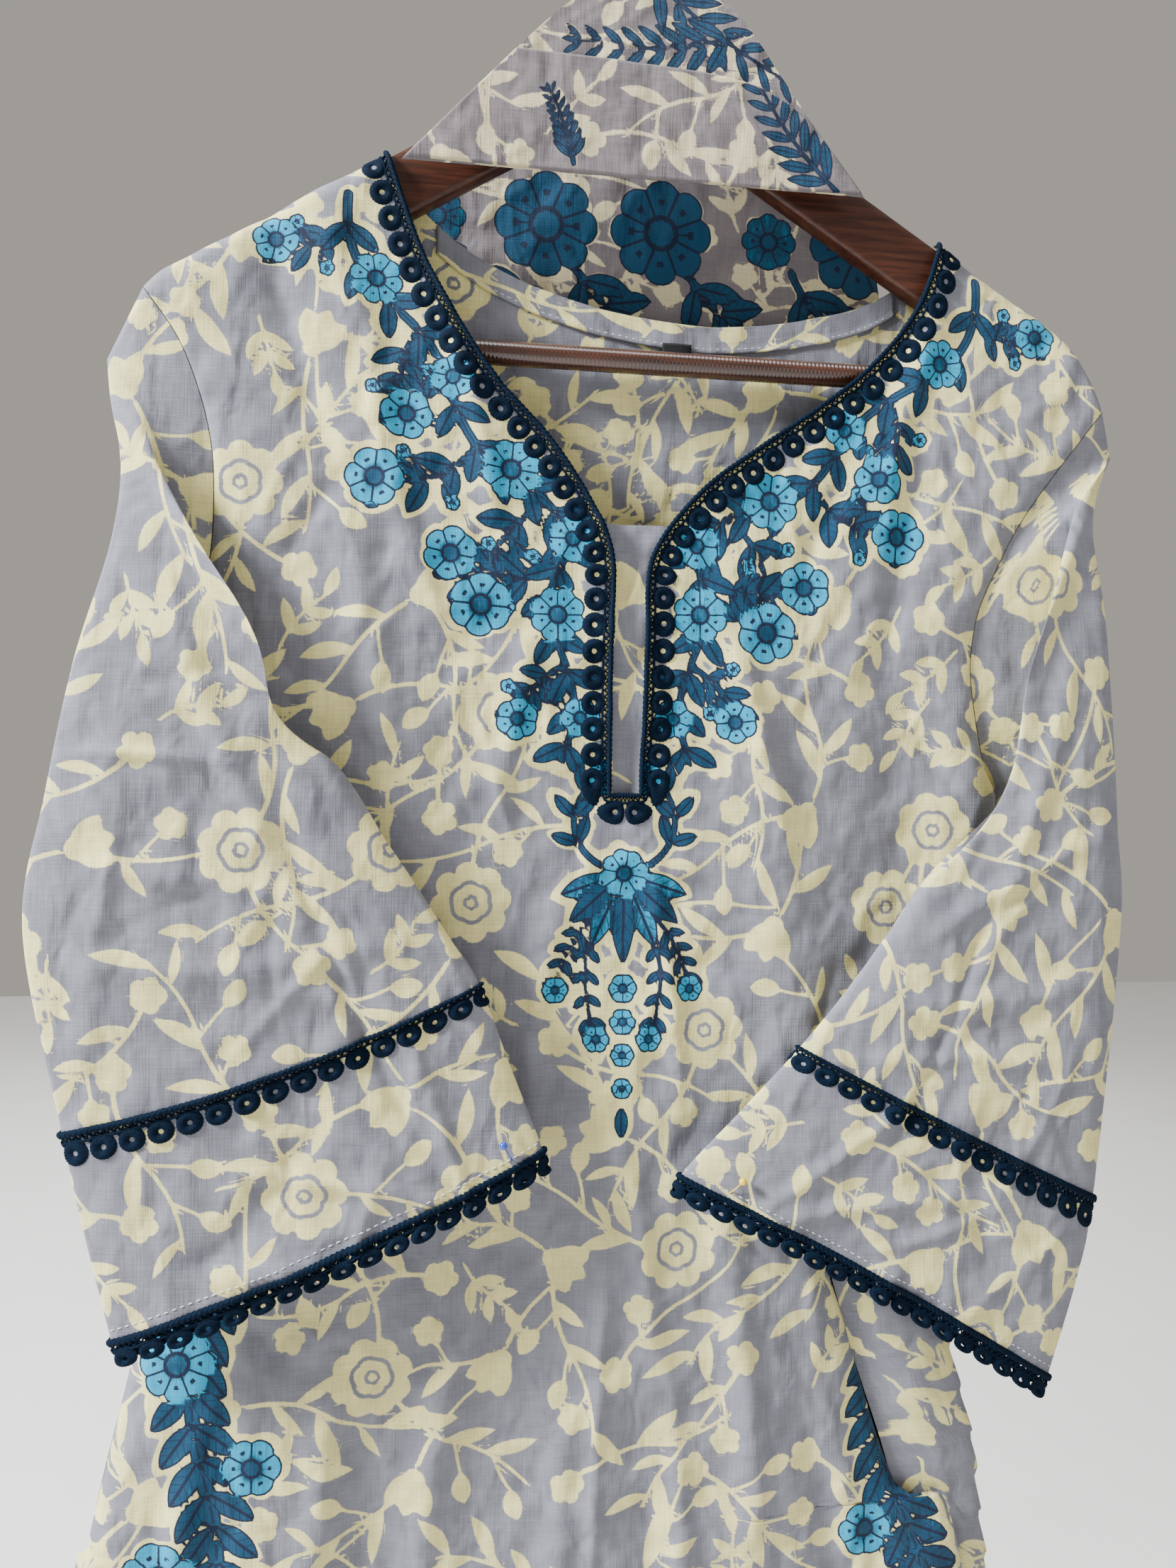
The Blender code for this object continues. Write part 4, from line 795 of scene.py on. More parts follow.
def pale_vines(sheet, seed, left, right, low, high):
    """The allover ground: flowers on a jittered honeycomb, bending stems from each with leaves left
    and right in turn, short twigs with buds, and sprigs where room is left."""
    random = np.random.default_rng(seed)
    flowers, places = Places(), Places()
    heads = []
    for row, z in enumerate(np.arange(high + 10, low - 10, -VINE_SPACING * 0.84)):
        for x in np.arange(left - 10 + (row % 2) * VINE_SPACING / 2, right + 20, VINE_SPACING):
            radius = random.choice([18.0, 12.0, 8.0], p=[0.16, 0.38, 0.46])
            place = (x + random.uniform(-11, 11), z + random.uniform(-11, 11))
            heads.append((*place, random.uniform(0, 2 * pi), radius))
    for x, z, turn, radius in heads:
        sheet.pale_flower(x, z, turn, radius)
        flowers.take(x, z, radius * 0.8)
        places.take(x, z, radius * 0.95)
    for x, z, turn, radius in heads:
        for branch in range(2 if radius > 11 else 1):
            heading = turn + pi * (radius < 15) + branch * 2.3 + random.uniform(-0.4, 0.4)
            bend = random.uniform(0.05, 0.11) * random.choice([-1, 1])
            side = random.choice([-1, 1])
            route = [(x + radius * 0.7 * cos(heading), z + radius * 0.7 * sin(heading))]
            for step in range(1, 16):
                heading += bend
                if step == 8:
                    bend = -bend
                here = (route[-1][0] + STEM_STEP * cos(heading), route[-1][1] + STEM_STEP * sin(heading))
                route.append(here)
                if step > 4 and not flowers.free(*here, 0):
                    break
                if step % 2 == 0:
                    side = -side
                    lean = heading + side * random.uniform(0.5, 0.85)
                    length = random.uniform(17, 27)
                    mid = (here[0] + 0.55 * length * cos(lean), here[1] + 0.55 * length * sin(lean))
                    if places.free(*mid, 5.0):
                        sheet.pale_leaf(*here, lean, length, length * random.uniform(0.23, 0.31))
                        places.take(*mid, 4.5)
                        places.take(here[0] + 0.2 * (mid[0] - here[0]), here[1] + 0.2 * (mid[1] - here[1]), 2)
                if step in (3, 7, 11):
                    lean = heading - side * random.uniform(0.7, 1.1)
                    twig = curl(*here, lean, random.uniform(-0.5, 0.5), random.uniform(12, 21))
                    if places.free(*twig[-1], 7.0):
                        sheet.pale_line(twig, 0.75, 0.6)
                        if random.random() < 0.55:
                            sheet.pale_flower(*twig[-1], random.uniform(0, 6), 7.0)
                        else:
                            sheet.pale_leaf(*twig[-2], lean, 14, 8.5)
                        places.take(*twig[-1], 6.5)
            sheet.pale_line(np.array(route), 1.0, 0.65)
            for here in route[::2]:
                places.take(*here, 1.5)
    area = (right - left) * (high - low)
    tries = int(area / 230)
    for x, z, heading, length in zip(
        random.uniform(left, right, tries),
        random.uniform(low, high, tries),
        random.uniform(0, 2 * pi, tries),
        random.uniform(24, 34, tries),
    ):
        route = curl(x, z, heading, random.uniform(-1, 1), length)
        if not (places.free(*route[0], 3) and places.free(*route[4], 7.5) and places.free(*route[-1], 6.5)):
            continue
        sheet.pale_line(route, 0.75, 0.6)
        for at in (2, 5):
            run = route[at + 1] - route[at]
            for side in (-1, 1):
                sheet.pale_leaf(*route[at], np.arctan2(run[1], run[0]) + side * 0.75, 15.5 - at * 0.5, 5.2)
        sheet.pale_leaf(*route[-1], heading, 14, 5.6)
        places.take(*route[4], 9)
        places.take(*route[-1], 8)


def leaf_pairs(sheet, route, first, last, every, length, width, tone=0.25):
    """Pairs of leaves that lean forward along a stem."""
    for at in range(first, last, every):
        run = route[min(at + 1, len(route) - 1)] - route[at - 1]
        heading = np.arctan2(run[1], run[0])
        for side in (-1, 1):
            sheet.teal_leaf(*route[at], heading + side * 0.78, length, width, tone)


def branch(sheet, start, heading, bend, length, leaf):
    """A bending stem with leaf pairs and beads on short stalks. Gives back its tip."""
    route = curl(*start, heading, bend, length, 16)
    sheet.teal_line(route, 1.7, 1.1)
    leaf_pairs(sheet, route, 4, 13, 4, leaf, leaf * 0.46, 0.1)
    for at, side in ((6, 1), (9, -1)):
        run = route[at + 1] - route[at]
        stalk = curl(*route[at], np.arctan2(run[1], run[0]) + 1.35 * side, 0.3, leaf * 0.75, 4)
        sheet.teal_line(stalk, 0.8, 0.8)
        sheet.rosette(*stalk[-1], 0, 3.8, 5, 0.9)
    return route[-1]


def neck_garland(sheet, side):
    """A stem that sways along the neckline and down the slit, with leaf pairs, branches to its outer
    side, and rosettes on its bends. Each branch is a place along, a lean, a bend, a length and sizes."""
    at = np.linspace(0.35, 8.7, 400)
    edge = np.stack([front_row(f"edge_{side}_x", at), front_row(f"edge_{side}_z", at)], -1)
    length = np.concatenate([[0], np.cumsum(np.hypot(*np.diff(edge, axis=0).T))])
    even = np.linspace(0, length[-1], 121)
    line = np.stack([np.interp(even, length, edge[:, 0]), np.interp(even, length, edge[:, 1])], -1)
    ahead = np.gradient(line, axis=0)
    ahead = ahead / np.hypot(*ahead.T)[:, None]
    sign = 1 if side == "l" else -1
    out = np.stack([ahead[:, 1], -ahead[:, 0]], -1) * sign
    stem = line + out * (23 + 6 * np.sin(2 * pi * 3 * np.arange(121) / 120))[:, None]
    sheet.teal_line(stem, 2.3, 1.7)
    rosettes = []
    for place, lean, bend, reach, leaf, size in (
        (6, 0.5, -1.3, 34, 15, 10.5),
        (26, 0.35, 1.1, 40, 17, 12),
        (47, 0.15, -1.2, 50, 19, 13.5),
        (66, -0.1, 1.1, 58, 20, 14.5),
        (84, 0.3, -1.0, 50, 18, 12.5),
        (102, 0.4, 0.9, 34, 14, 10),
    ):
        heading = np.arctan2(*(out[place] * cos(lean) + ahead[place] * sin(lean))[::-1])
        tip = branch(sheet, stem[place], heading, bend * sign, reach, leaf)
        rosettes.append((*tip, heading, size, 6, 0.85))
    leaf_pairs(sheet, stem, 5, 118, 7, 18, 8.2, 0.2)
    on_bends = ((15, 12, 8), (36, 10.5, 6), (56, 14, 8), (75, 11, 6), (93, 13, 8), (112, 9.5, 6))
    for place, radius, petals in on_bends:
        rosettes.append((*(stem[place] - out[place] * 3), 0.3 * place, radius, petals, 0.95))
    for rosette in rosettes:
        sheet.rosette(*rosette)


def pendant(sheet, x, z):
    """A fan of leaves that opens down from the slit's foot, scrolls at its sides, and a falling
    row of rosettes, alike on both sides."""
    for side in (-1, 1):
        scroll = curl(x + side * 9, z + 3, pi / 2 - side * (pi / 2 - 0.35), side * 2.4, 52, 14)
        sheet.teal_line(scroll, 1.8, 1.2, 0.2)
        leaf_pairs(sheet, scroll, 4, 12, 3, 14, 6.2, 0.2)
        sheet.rosette(*scroll[-1], 0, 8.5, 6, 0.9)
        for lean, reach in ((0.85, 40), (0.35, 58)):
            sweep = curl(x + side * 12, z - 18, -pi / 2 + side * lean, -side * 0.7, reach, 12)
            sheet.teal_line(sweep, 1.1, 0.8, 0.1)
            leaf_pairs(sheet, sweep, 3, 11, 2, 9.5, 4.2, 0.15)
            sheet.rosette(*sweep[-1], 0, 6.5, 6, 0.9)
    for lean, length in ((-1.25, 27), (1.25, 27), (-0.42, 33), (0.42, 33), (-0.84, 30), (0.84, 30), (0, 38)):
        tone = 0.1 + 0.5 * (abs(lean) % 0.8 > 0.4)
        sheet.teal_leaf(x + 4 * sin(lean), z - 4 * cos(lean), lean - pi / 2, length, 10.5, tone)
    sheet.rosette(x, z, 0.2, 11.5, 8, 0.95)
    for step, size in enumerate((7.0, 6.4, 5.8, 5.2)):
        sheet.rosette(x, z - 52 - 15 * step, 0, size, 6, 0.9)
    sheet.teal_leaf(x, z - 105, -pi / 2, 15, 6.5, 0.3)


def skirt_column(sheet, x, lean, high, low, mirror):
    """A swaying stem down the skirt with rosettes in its bends and leaf pairs beside it."""
    down = np.linspace(high, low, 150)
    stem = np.stack([x + lean * (down - high) + 9 * np.sin((down - high) / 29), down], -1)
    sheet.teal_line(stem, 3.4, 3.0, 0.15)
    leaf_pairs(sheet, stem, 4, 148, 5, 24, 10.5, 0.2)
    for bend, z in enumerate(np.arange(high - 45, low, -91.1)):
        at = x + lean * (z - high)
        sheet.rosette(at - mirror * 15, z, 0.4 * bend, 16.5, 8, 0.95)
        sheet.rosette(at + mirror * 17, z - 45, 0.2 * bend, 13, 6, 0.75)


def hem_border(sheet, low):
    """Fans and rosettes in turn above the hem, between two lines."""
    for z, width in ((low + 12, 1.8), (low + 17, 1.3), (low + 78, 1.3)):
        sheet.teal_line([(-270, z), (-20, z), (240, z)], width, width, 0.2)
    for step, x in enumerate(np.arange(-250, 236, 27.0)):
        if step % 2:
            sheet.rosette(x, low + 46, 0, 12, 8, 0.95)
            continue
        for lean in (-0.8, 0.8, -0.4, 0.4, 0):
            tone = 0.2 if abs(lean) == 0.4 else 0.7
            sheet.teal_leaf(x + 3 * sin(lean), low + 24, pi / 2 - lean, 30 - 8 * abs(lean), 9, tone)


def body_print(x, z, placed):
    """The front's or the back's print. Only the front has the teal motifs placed round its neck."""
    sheet = Print(x, z)
    seed = bpy.context.scene.kameez_sizes.seed + (0 if placed else 12)
    pale_vines(sheet, seed, sheet.x.min(), sheet.x.max(), sheet.z.min(), sheet.z.max())
    if placed:
        neck_garland(sheet, "l")
        neck_garland(sheet, "r")
        pendant(sheet, -2.5, -474)
        skirt_column(sheet, -176, 0.07, -640, -1075, 1)
        skirt_column(sheet, 128, -0.1, -690, -1075, -1)
        hem_border(sheet, HEM_Z)
    return sheet.carried()


def sleeve_print(x, z):
    sheet = Print(x, z)
    pale_vines(sheet, 5, sheet.x.min(), sheet.x.max(), sheet.z.min(), sheet.z.max())
    return sheet.carried()


def leafy_spray(sheet, x, z, heading, bend, length, leaf_length, leaf_width):
    """A bending stem with close pairs of long leaves that shorten towards its tip."""
    route = curl(x, z, heading, bend, length, 24)
    for at in range(2, 24, 3):
        run = route[min(at + 1, 23)] - route[at - 1]
        along = np.arctan2(run[1], run[0])
        size = 1 - 0.5 * at / 24
        for side in (-1, 1):
            sheet.teal_leaf(*route[at], along + side * 0.72, leaf_length * size, leaf_width * size, 0.0)
    sheet.teal_leaf(*route[-1], heading + bend, leaf_length * 0.5, leaf_width * 0.5, 0.0)
    sheet.teal_line(route, 1.3, 0.7)


def dupatta_print(x, z, part):
    """Pale vines with teal sprays in front, and larger soft teal flowers on the fall behind."""
    sheet = Print(x, z)
    pale_vines(sheet, 31, sheet.x.min(), sheet.x.max(), sheet.z.min(), sheet.z.max())
    if part == "front":
        leafy_spray(sheet, 2, -66, -0.78, 0.4, 88, 24, 7.0)
        leafy_spray(sheet, 46, -92, -2.75, -0.5, 74, 22, 6.4)
    if part == "band":
        leafy_spray(sheet, 92, -160, 2.45, -0.4, 62, 21, 6.2)
        leafy_spray(sheet, -30, -158, 1.75, 0.3, 32, 12, 3.8)
    if part == "back":
        for row, at_z in enumerate([-166, *np.arange(-270, -960, -88)]):
            columns = (-90, -38, 18, 72, 118) if row == 0 else (-88, 4, 92) if row % 2 else (-44, 48)
            for column, at_x in enumerate(columns):
                large = (row + column) % 3 == 1 or (row == 0 and column == 2)
                if row == 0:
                    stem = curl(at_x + 12, at_z - 14, -1.2, 0.9, 44, 12)
                    sheet.teal_line(stem, 2.2, 1.8)
                    leaf_pairs(sheet, stem, 3, 11, 4, 24, 10.5, 0.0)
                else:
                    for lean in (-2.2, -1.6, -1.0):
                        sheet.teal_leaf(at_x, at_z, lean, 56 if large else 42, 17, 0.0)
                sheet.rosette(at_x, at_z, 0.4 * row, 25 if large else 14, 8, 0.05 if large else 0.2)
    return sheet.carried()


class Finish:
    """A node material being made: each call adds one node and gives back its output."""

    def __init__(self, name, **sockets):
        self.material = bpy.data.materials.new(name)
        self.material.use_nodes = True
        self.tree = self.material.node_tree
        self.shader = self.tree.nodes["Principled BSDF"]
        for socket, value in sockets.items():
            self.shader.inputs[socket.replace("_", " ").title().replace("Ior", "IOR")].default_value = value

    def node(self, kind, inputs=(), output=0, **settings):
        node = self.tree.nodes.new(f"ShaderNode{kind}")
        for name, value in settings.items():
            setattr(node, name, value)
        for socket, value in dict(inputs).items():
            if isinstance(value, bpy.types.NodeSocket):
                self.tree.links.new(value, node.inputs[socket])
            else:
                node.inputs[socket].default_value = value
        return node.outputs[output]

    def math(self, operation, a, b=0.0, c=0.0):
        return self.node("Math", {0: a, 1: b, 2: c}, operation=operation)

    def between(self, value, low, high):
        """0 at low and 1 at high, eased; low may be the greater."""
        turned_round = low > high
        ends = {"From Min": min(low, high), "From Max": max(low, high)}
        if turned_round:
            ends.update({"To Min": 1.0, "To Max": 0.0})
        return self.node("MapRange", {"Value": value, **ends}, interpolation_type="SMOOTHSTEP")

    def mixed(self, share, a, b, blend="MIX"):
        return self.node(
            "Mix", {0: share, 6: a, 7: b}, output=2, data_type="RGBA", blend_type=blend, clamp_factor=True
        )

    def carried(self, name):
        return self.node("Attribute", attribute_name=name, output=2)

    def place(self, scale=(1, 1, 1), source="object"):
        base = self.node("TexCoord", output=3) if source == "object" else self.node("UVMap", uv_map=source)
        return self.node("Mapping", {"Vector": base, "Scale": scale})

    def noise(self, place, scale, detail=2.0, roughness=0.5, distortion=0.0):
        inputs = {"Scale": scale, "Detail": detail, "Roughness": roughness, "Distortion": distortion}
        return self.node("TexNoise", {"Vector": place, **inputs})

    def bump(self, height, distance, strength=1.0, under=None):
        inputs = {"Height": height, "Distance": distance, "Strength": strength}
        if under is not None:
            inputs["Normal"] = under
        return self.node("Bump", inputs)

    def lit(self, body, value, low, high):
        """A colour made a little darker or lighter by a value."""
        ends = {"From Min": 0.6, "From Max": 1.4, "To Min": low, "To Max": high}
        light = self.node("MapRange", {"Value": value, **ends})
        return self.mixed(1.0, body, self.node("CombineColor", {0: light, 1: light, 2: light}), "MULTIPLY")

    def finish(self, **links):
        for socket, value in links.items():
            self.tree.links.new(value, self.shader.inputs[socket.replace("_", " ").title()])
        return self.material


def colour(value):
    return (*value[:3], 1)


def printed_cloth(name, look, grounds, pales, blur, crinkle):
    """Plain weave with the print that the cloth carries. A colour starts where its signed distance
    passes 0, with a ragged, slightly soft edge. Each teal motif has a dark rim and a pale patch round
    it. On a rosette, along is the share of its radius and across swings through 0 between petals, so
    its inner lines are where their product is small. On a leaf they run from foot and middle line."""
    made = Finish(name, roughness=0.86, specular_ior_level=0.25, sheen_weight=0.06, sheen_roughness=0.5)
    fibre = made.noise(made.place(source="cloth"), 950.0, 2.0)
    ragged = made.math("MULTIPLY_ADD", fibre, 0.8, -0.4)
    if blur > 1:
        spread = made.noise(made.place(source="cloth"), 210.0, 2.0)
        ragged = made.math("ADD", ragged, made.math("MULTIPLY_ADD", spread, 1.6, -0.8))
    cream, leaf_l, leaf_r, ring, teal = (
        made.carried(value) for value in ("cream", "leaf_l", "leaf_r", "ring", "teal")
    )
    room = made.math("ADD", cream, 1.15)
    in_stem = made.math("MULTIPLY_ADD", made.math("ABSOLUTE", made.carried("stem")), -1.0, 1.0)
    in_leaf = made.math("MINIMUM", leaf_l, leaf_r)
    printed = made.math("MINIMUM", made.math("MAXIMUM", in_stem, in_leaf), room)
    printed = made.math("MAXIMUM", printed, cream)
    for radius, width in ((0.0, 0.85), (5.4, 0.7)):
        on_ring = made.math("ABSOLUTE", made.math("SUBTRACT", ring, radius))
        printed = made.math("MINIMUM", printed, made.math("SUBTRACT", on_ring, width))
    patch = made.noise(made.place(source="cloth"), 34.0, 2.0)
    patch = made.math("MULTIPLY_ADD", patch, 9.0, -5.2 if crinkle else -2.1)
    printed = made.math("ADD", made.math("MAXIMUM", printed, made.math("ADD", teal, patch)), ragged)
    teal = made.math("ADD", teal, made.math("MULTIPLY", ragged, 0.5))
    faint = made.noise(made.place(source="cloth"), 48.0, 4.0, 0.6)
    ground = made.mixed(made.between(faint, 0.35, 0.65), *(colour(shade) for shade in grounds))
    pale = made.mixed(made.between(faint, 0.3, 0.7), *(colour(shade) for shade in pales))
    body = made.mixed(made.between(printed, -0.3 * blur, 0.3 * blur), ground, pale)
    along, across, leafy = (made.carried(value) for value in ("along", "across", "leafy"))
    size = made.math("ABSOLUTE", across)
    petal_gap = made.between(made.math("MULTIPLY", size, along), 0.13, 0.07)
    petal_gap = made.math("MULTIPLY", petal_gap, made.between(along, 0.92, 0.82))
    inner_ring = made.between(made.math("ABSOLUTE", made.math("SUBTRACT", along, 0.3)), 0.065, 0.035)
    stamen = made.math("MULTIPLY", made.between(size, 0.965, 0.985), made.between(along, 0.6, 0.56))
    stamen_head = made.math("MULTIPLY", made.between(size, 0.86, 0.9), made.between(along, 0.66, 0.63))
    stamen_head = made.math("MULTIPLY", stamen_head, made.between(along, 0.52, 0.55))
    stamen = made.math("MAXIMUM", stamen, stamen_head)
    on_rosette = made.math("MAXIMUM", made.math("MAXIMUM", petal_gap, inner_ring), stamen)
    on_rosette = made.math("MULTIPLY", on_rosette, made.between(along, 0.22, 0.25))
    slant = made.math("FRACT", made.math("MULTIPLY_ADD", size, -1.1, made.math("MULTIPLY", along, 6.0)))
    side_vein = made.math("MULTIPLY", made.between(slant, 0.84, 0.92), 0.8)
    on_leaf = made.math("MAXIMUM", made.between(size, 0.16, 0.09), side_vein)
    kind = made.between(leafy, 0.45, 0.55)
    line = made.node("Mix", {0: kind, 2: on_rosette, 3: on_leaf})
    streak = made.math("MULTIPLY_ADD", made.noise(made.place((1, 0.3, 1), "cloth"), 420.0, 2.0, 0.6), 0.8, -0.4)
    petal_light = made.math("MULTIPLY_ADD", made.between(along, 0.2, 0.6), 0.7, -0.5)
    light = made.node("Mix", {0: kind, 2: petal_light, 3: made.math("MULTIPLY", across, 0.22)})
    tone = made.math("ADD", made.math("ADD", made.carried("tone"), streak), light)
    blue = made.mixed(made.between(tone, 0.32, 1.0), colour(look.deep_teal), colour(look.teal))
    blue = made.mixed(line, blue, colour(look.outline))
    body = made.mixed(made.between(teal, -0.15 * blur, 0.15 * blur), body, colour(look.outline))
    body = made.mixed(made.between(teal, 0.6, 0.6 + 0.3 * blur), body, blue)
    warp = made.noise(made.place((1, 0.045, 1), "cloth"), 1350.0, 1.0)
    weft = made.noise(made.place((0.045, 1, 1), "cloth"), 1350.0, 1.0)
    threads = made.math("ADD", warp, weft)
    wrinkles = made.noise(made.place((1, 0.6, 1), "cloth"), 70.0, 1.5, 0.45, 0.4)
    bumped = made.bump(wrinkles, 0.0042, 0.75)
    if crinkle:
        gathers = made.noise(made.place((1, 0.12, 1), "cloth"), 330.0, 2.0, 0.6, 0.6)
        bumped = made.bump(gathers, 0.0004, 0.5, bumped)
    bumped = made.bump(threads, 0.00022, 0.6, bumped)
    return made.finish(base_color=made.lit(body, threads, 0.84, 1.12), normal=bumped)


def plain_cotton(name, shades):
    """One-colour plain weave, mottled a little, on Object coordinates."""
    made = Finish(name, roughness=0.9, specular_ior_level=0.25, sheen_weight=0.1, sheen_roughness=0.5)
    body = made.mixed(made.between(made.noise(made.place(), 60.0, 3.0), 0.3, 0.7), *(colour(s) for s in shades))
    warp = made.noise(made.place((1, 1, 0.05)), 1800.0, 1.0)
    weft = made.noise(made.place((0.05, 1, 1)), 1800.0, 1.0)
    return made.finish(base_color=body, normal=made.bump(made.math("ADD", warp, weft), 0.0002, 0.5))


def lace_thread(look):
    """Twisted navy cotton, bumped along random strands, some of them painted lighter as painted highlights."""
    made = Finish("navy_lace_thread", roughness=0.8, specular_ior_level=0.06)
    strands = made.noise(made.place(), 1700.0, 2.0, 0.6)
    # painted highlight: the strands that the noise picks get the lighter lace_light colour, as if they catch the
    # light
    body = made.mixed(made.between(strands, 0.35, 0.7), colour(look.lace), colour(look.lace_light))
    return made.finish(base_color=body, normal=made.bump(strands, 0.0003, 0.7))


def lacquered_wood(name, look, gloss):
    """Dark brown gloss: long grain as stretched noise under a clear coat."""
    made = Finish(name, roughness=0.4, specular_ior_level=0.25, coat_weight=gloss, coat_roughness=0.1)
    grain = made.noise(made.place((0.06, 1, 1)), 420.0, 4.0, 0.6, 0.4)
    body = made.mixed(made.between(grain, 0.3, 0.7), colour(look.wood), colour(look.wood_light))
    return made.finish(base_color=body, normal=made.bump(grain, 0.00012, 0.35))


def plated_steel():
    made = Finish("plated_steel", base_color=(0.62, 0.62, 0.63, 1), metallic=1.0, roughness=0.22)
    drawn = made.noise(made.place((1, 1, 0.08)), 900.0, 2.0)
    return made.finish(normal=made.bump(drawn, 0.00005, 0.4))


def quads(rows, columns, closed=False, turned=False):
    """The faces of a grid whose points run row by row; closed joins the last column to the first."""
    r, c = np.meshgrid(np.arange(rows - 1), np.arange(columns if closed else columns - 1), indexing="ij")
    beside = (c + 1) % columns
    corners = [r * columns + c, (r + 1) * columns + c, (r + 1) * columns + beside, r * columns + beside]
    faces = np.stack(corners[::-1] if turned else corners, -1)
    return faces


def add_piece(name, places, faces, finish, stands_for=(), cloth_map=None, values=None):
    """A mesh piece from points in millimetres and faces of four corners; points that no face uses
    are dropped. cloth_map is each point's place on the flat cloth, and values are what it carries."""
    places = np.asarray(places, float).reshape(-1, 3)
    faces = np.asarray(faces).reshape(-1, np.shape(faces)[-1])
    used, corners = np.unique(faces, return_inverse=True)
    corners = corners.reshape(-1)
    mesh = bpy.data.meshes.new(name)
    mesh.vertices.add(len(used))
    mesh.vertices.foreach_set("co", (places[used] * MM).ravel())
    mesh.loops.add(len(corners))
    mesh.loops.foreach_set("vertex_index", corners.astype(np.int32))
    mesh.polygons.add(len(faces))
    mesh.polygons.foreach_set("loop_start", np.arange(len(faces), dtype=np.int32) * faces.shape[1])
    if cloth_map is not None:
        flat = np.asarray(cloth_map, float).reshape(-1, 2)[used][corners] * MM
        mesh.uv_layers.new(name="cloth").data.foreach_set("uv", flat.ravel())
    for label, value in (values or {}).items():
        mesh.attributes.new(label, "FLOAT", "POINT").data.foreach_set(
            "value", np.asarray(value, np.float32).reshape(-1)[used]
        )
    mesh.update(calc_edges=True)
    mesh.validate()
    mesh.shade_smooth()
    mesh.materials.append(bpy.data.materials[finish])
    obj = bpy.data.objects.new(name, mesh)
    bpy.context.scene.collection.objects.link(obj)
    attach(obj, "root")
    if stands_for:
        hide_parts(*stands_for)
    return obj


def add_cloth(name, grid, node, flat, values, faces=None, finish="printed_cotton", **form):
    """A printed piece that stands for one node. Its faces are those of its grid unless some are given."""
    if faces is None:
        faces = quads(*grid.shape[:2], **form)
    return add_piece(name, grid, faces, finish, [node], flat, values)


def give_wall(obj, thickness, offset=0.0):
    """Cloth thickness on a surface, as a modifier."""
    wall = obj.modifiers.new("Wall", "SOLIDIFY")
    wall.thickness = thickness * MM
    wall.offset = offset
    return obj


def tube(route, radius, sides, closed=False, normal=(0, 1, 0)):
    """A profile of the given sides carried along a route. Its frame is the route's heading, the
    part of normal square to it, and the cross of both; radius may change along the route."""
    route = np.asarray(route, float)
    if closed:
        ahead = np.roll(route, -1, 0) - np.roll(route, 1, 0)
    else:
        ahead = np.gradient(route, axis=0)
    ahead = ahead / np.linalg.norm(ahead, axis=1)[:, None]
    up = np.broadcast_to(np.asarray(normal, float), route.shape)
    up = up - ahead * np.sum(up * ahead, axis=1)[:, None]
    up = up / np.maximum(np.linalg.norm(up, axis=1), 1e-9)[:, None]
    across = np.cross(ahead, up)
    turn = np.linspace(0, 2 * pi, sides, endpoint=False)
    if np.ndim(radius) < 2:
        radius = np.reshape(radius, (-1, 1))
    radius = np.broadcast_to(radius, (len(route), sides))
    ring = up[:, None] * np.cos(turn)[None, :, None] + across[:, None] * np.sin(turn)[None, :, None]
    places = route[:, None] + ring * radius[..., None]
    faces = quads(len(route), sides, closed=True)
    if closed:
        count = len(route) * sides
        seam = quads(2, sides, closed=True).copy()
        last = np.where(seam >= sides, seam - sides, seam + count - sides)
        faces = np.concatenate([faces.reshape(-1, 4), last.reshape(-1, 4)])
    return places.reshape(-1, 3), faces.reshape(-1, 4)


def joined(parts):
    """Several sets of points and faces as one."""
    start, places, faces = 0, [], []
    for part_places, part_faces in parts:
        places.append(np.reshape(part_places, (-1, 3)))
        faces.append(np.reshape(part_faces, (-1, 4)) + start)
        start += len(places[-1])
    return np.concatenate(places), np.concatenate(faces)


# How the panels are gridded: columns in each half of the front, across the slit and round the back,
# the height where the front's rows widen, and the drop where the back's do.
FRONT_COLUMNS = 104
SLIT_COLUMNS = 6
FRONT_FINE_END_Z = -785.0
BACK_COLUMNS = 160
BACK_SPACING_SHARE = 1.5
BACK_FINE_END_DROP = 640.0
# Where the hidden pieces are cut from the printed cloth, away from the front.
BACK_CLOTH_X = 700
FACING_CLOTH_X = 900
FACING_CLOTH_Z = -400
PLACKET_CLOTH_X = 1300


def build_front(suit):
    at = front_places(suit.fine, suit.coarse, FRONT_FINE_END_Z)
    grid = front_grid(at, FRONT_COLUMNS, SLIT_COLUMNS)
    faces = quads(*grid.shape[:2])
    open_rows = int(np.sum(at < SLIT_END_ROW))
    keep = np.ones(faces.shape[:2], bool)
    keep[:open_rows, FRONT_COLUMNS - 1 : FRONT_COLUMNS + SLIT_COLUMNS] = False
    flat = grid[..., [0, 2]]
    values = body_print(flat[..., 0], flat[..., 1], True)
    obj = add_cloth("printed_front", grid, "kameez_front", flat, values, faces[keep])


def build_back(suit):
    grid = back_grid(BACK_COLUMNS, suit.fine * BACK_SPACING_SHARE, suit.coarse, BACK_FINE_END_DROP)
    x = grid[..., 0]
    girth = np.concatenate([[0 * x[:, 0]], np.cumsum(np.abs(np.diff(x, axis=1)).T, axis=0)]).T + x[:, :1]
    flat = np.stack([-girth, grid[..., 2]], -1)
    values = body_print(flat[..., 0] + BACK_CLOTH_X, flat[..., 1], False)
    obj = add_cloth("printed_back", grid, "kameez_back", flat, values, turned=True)


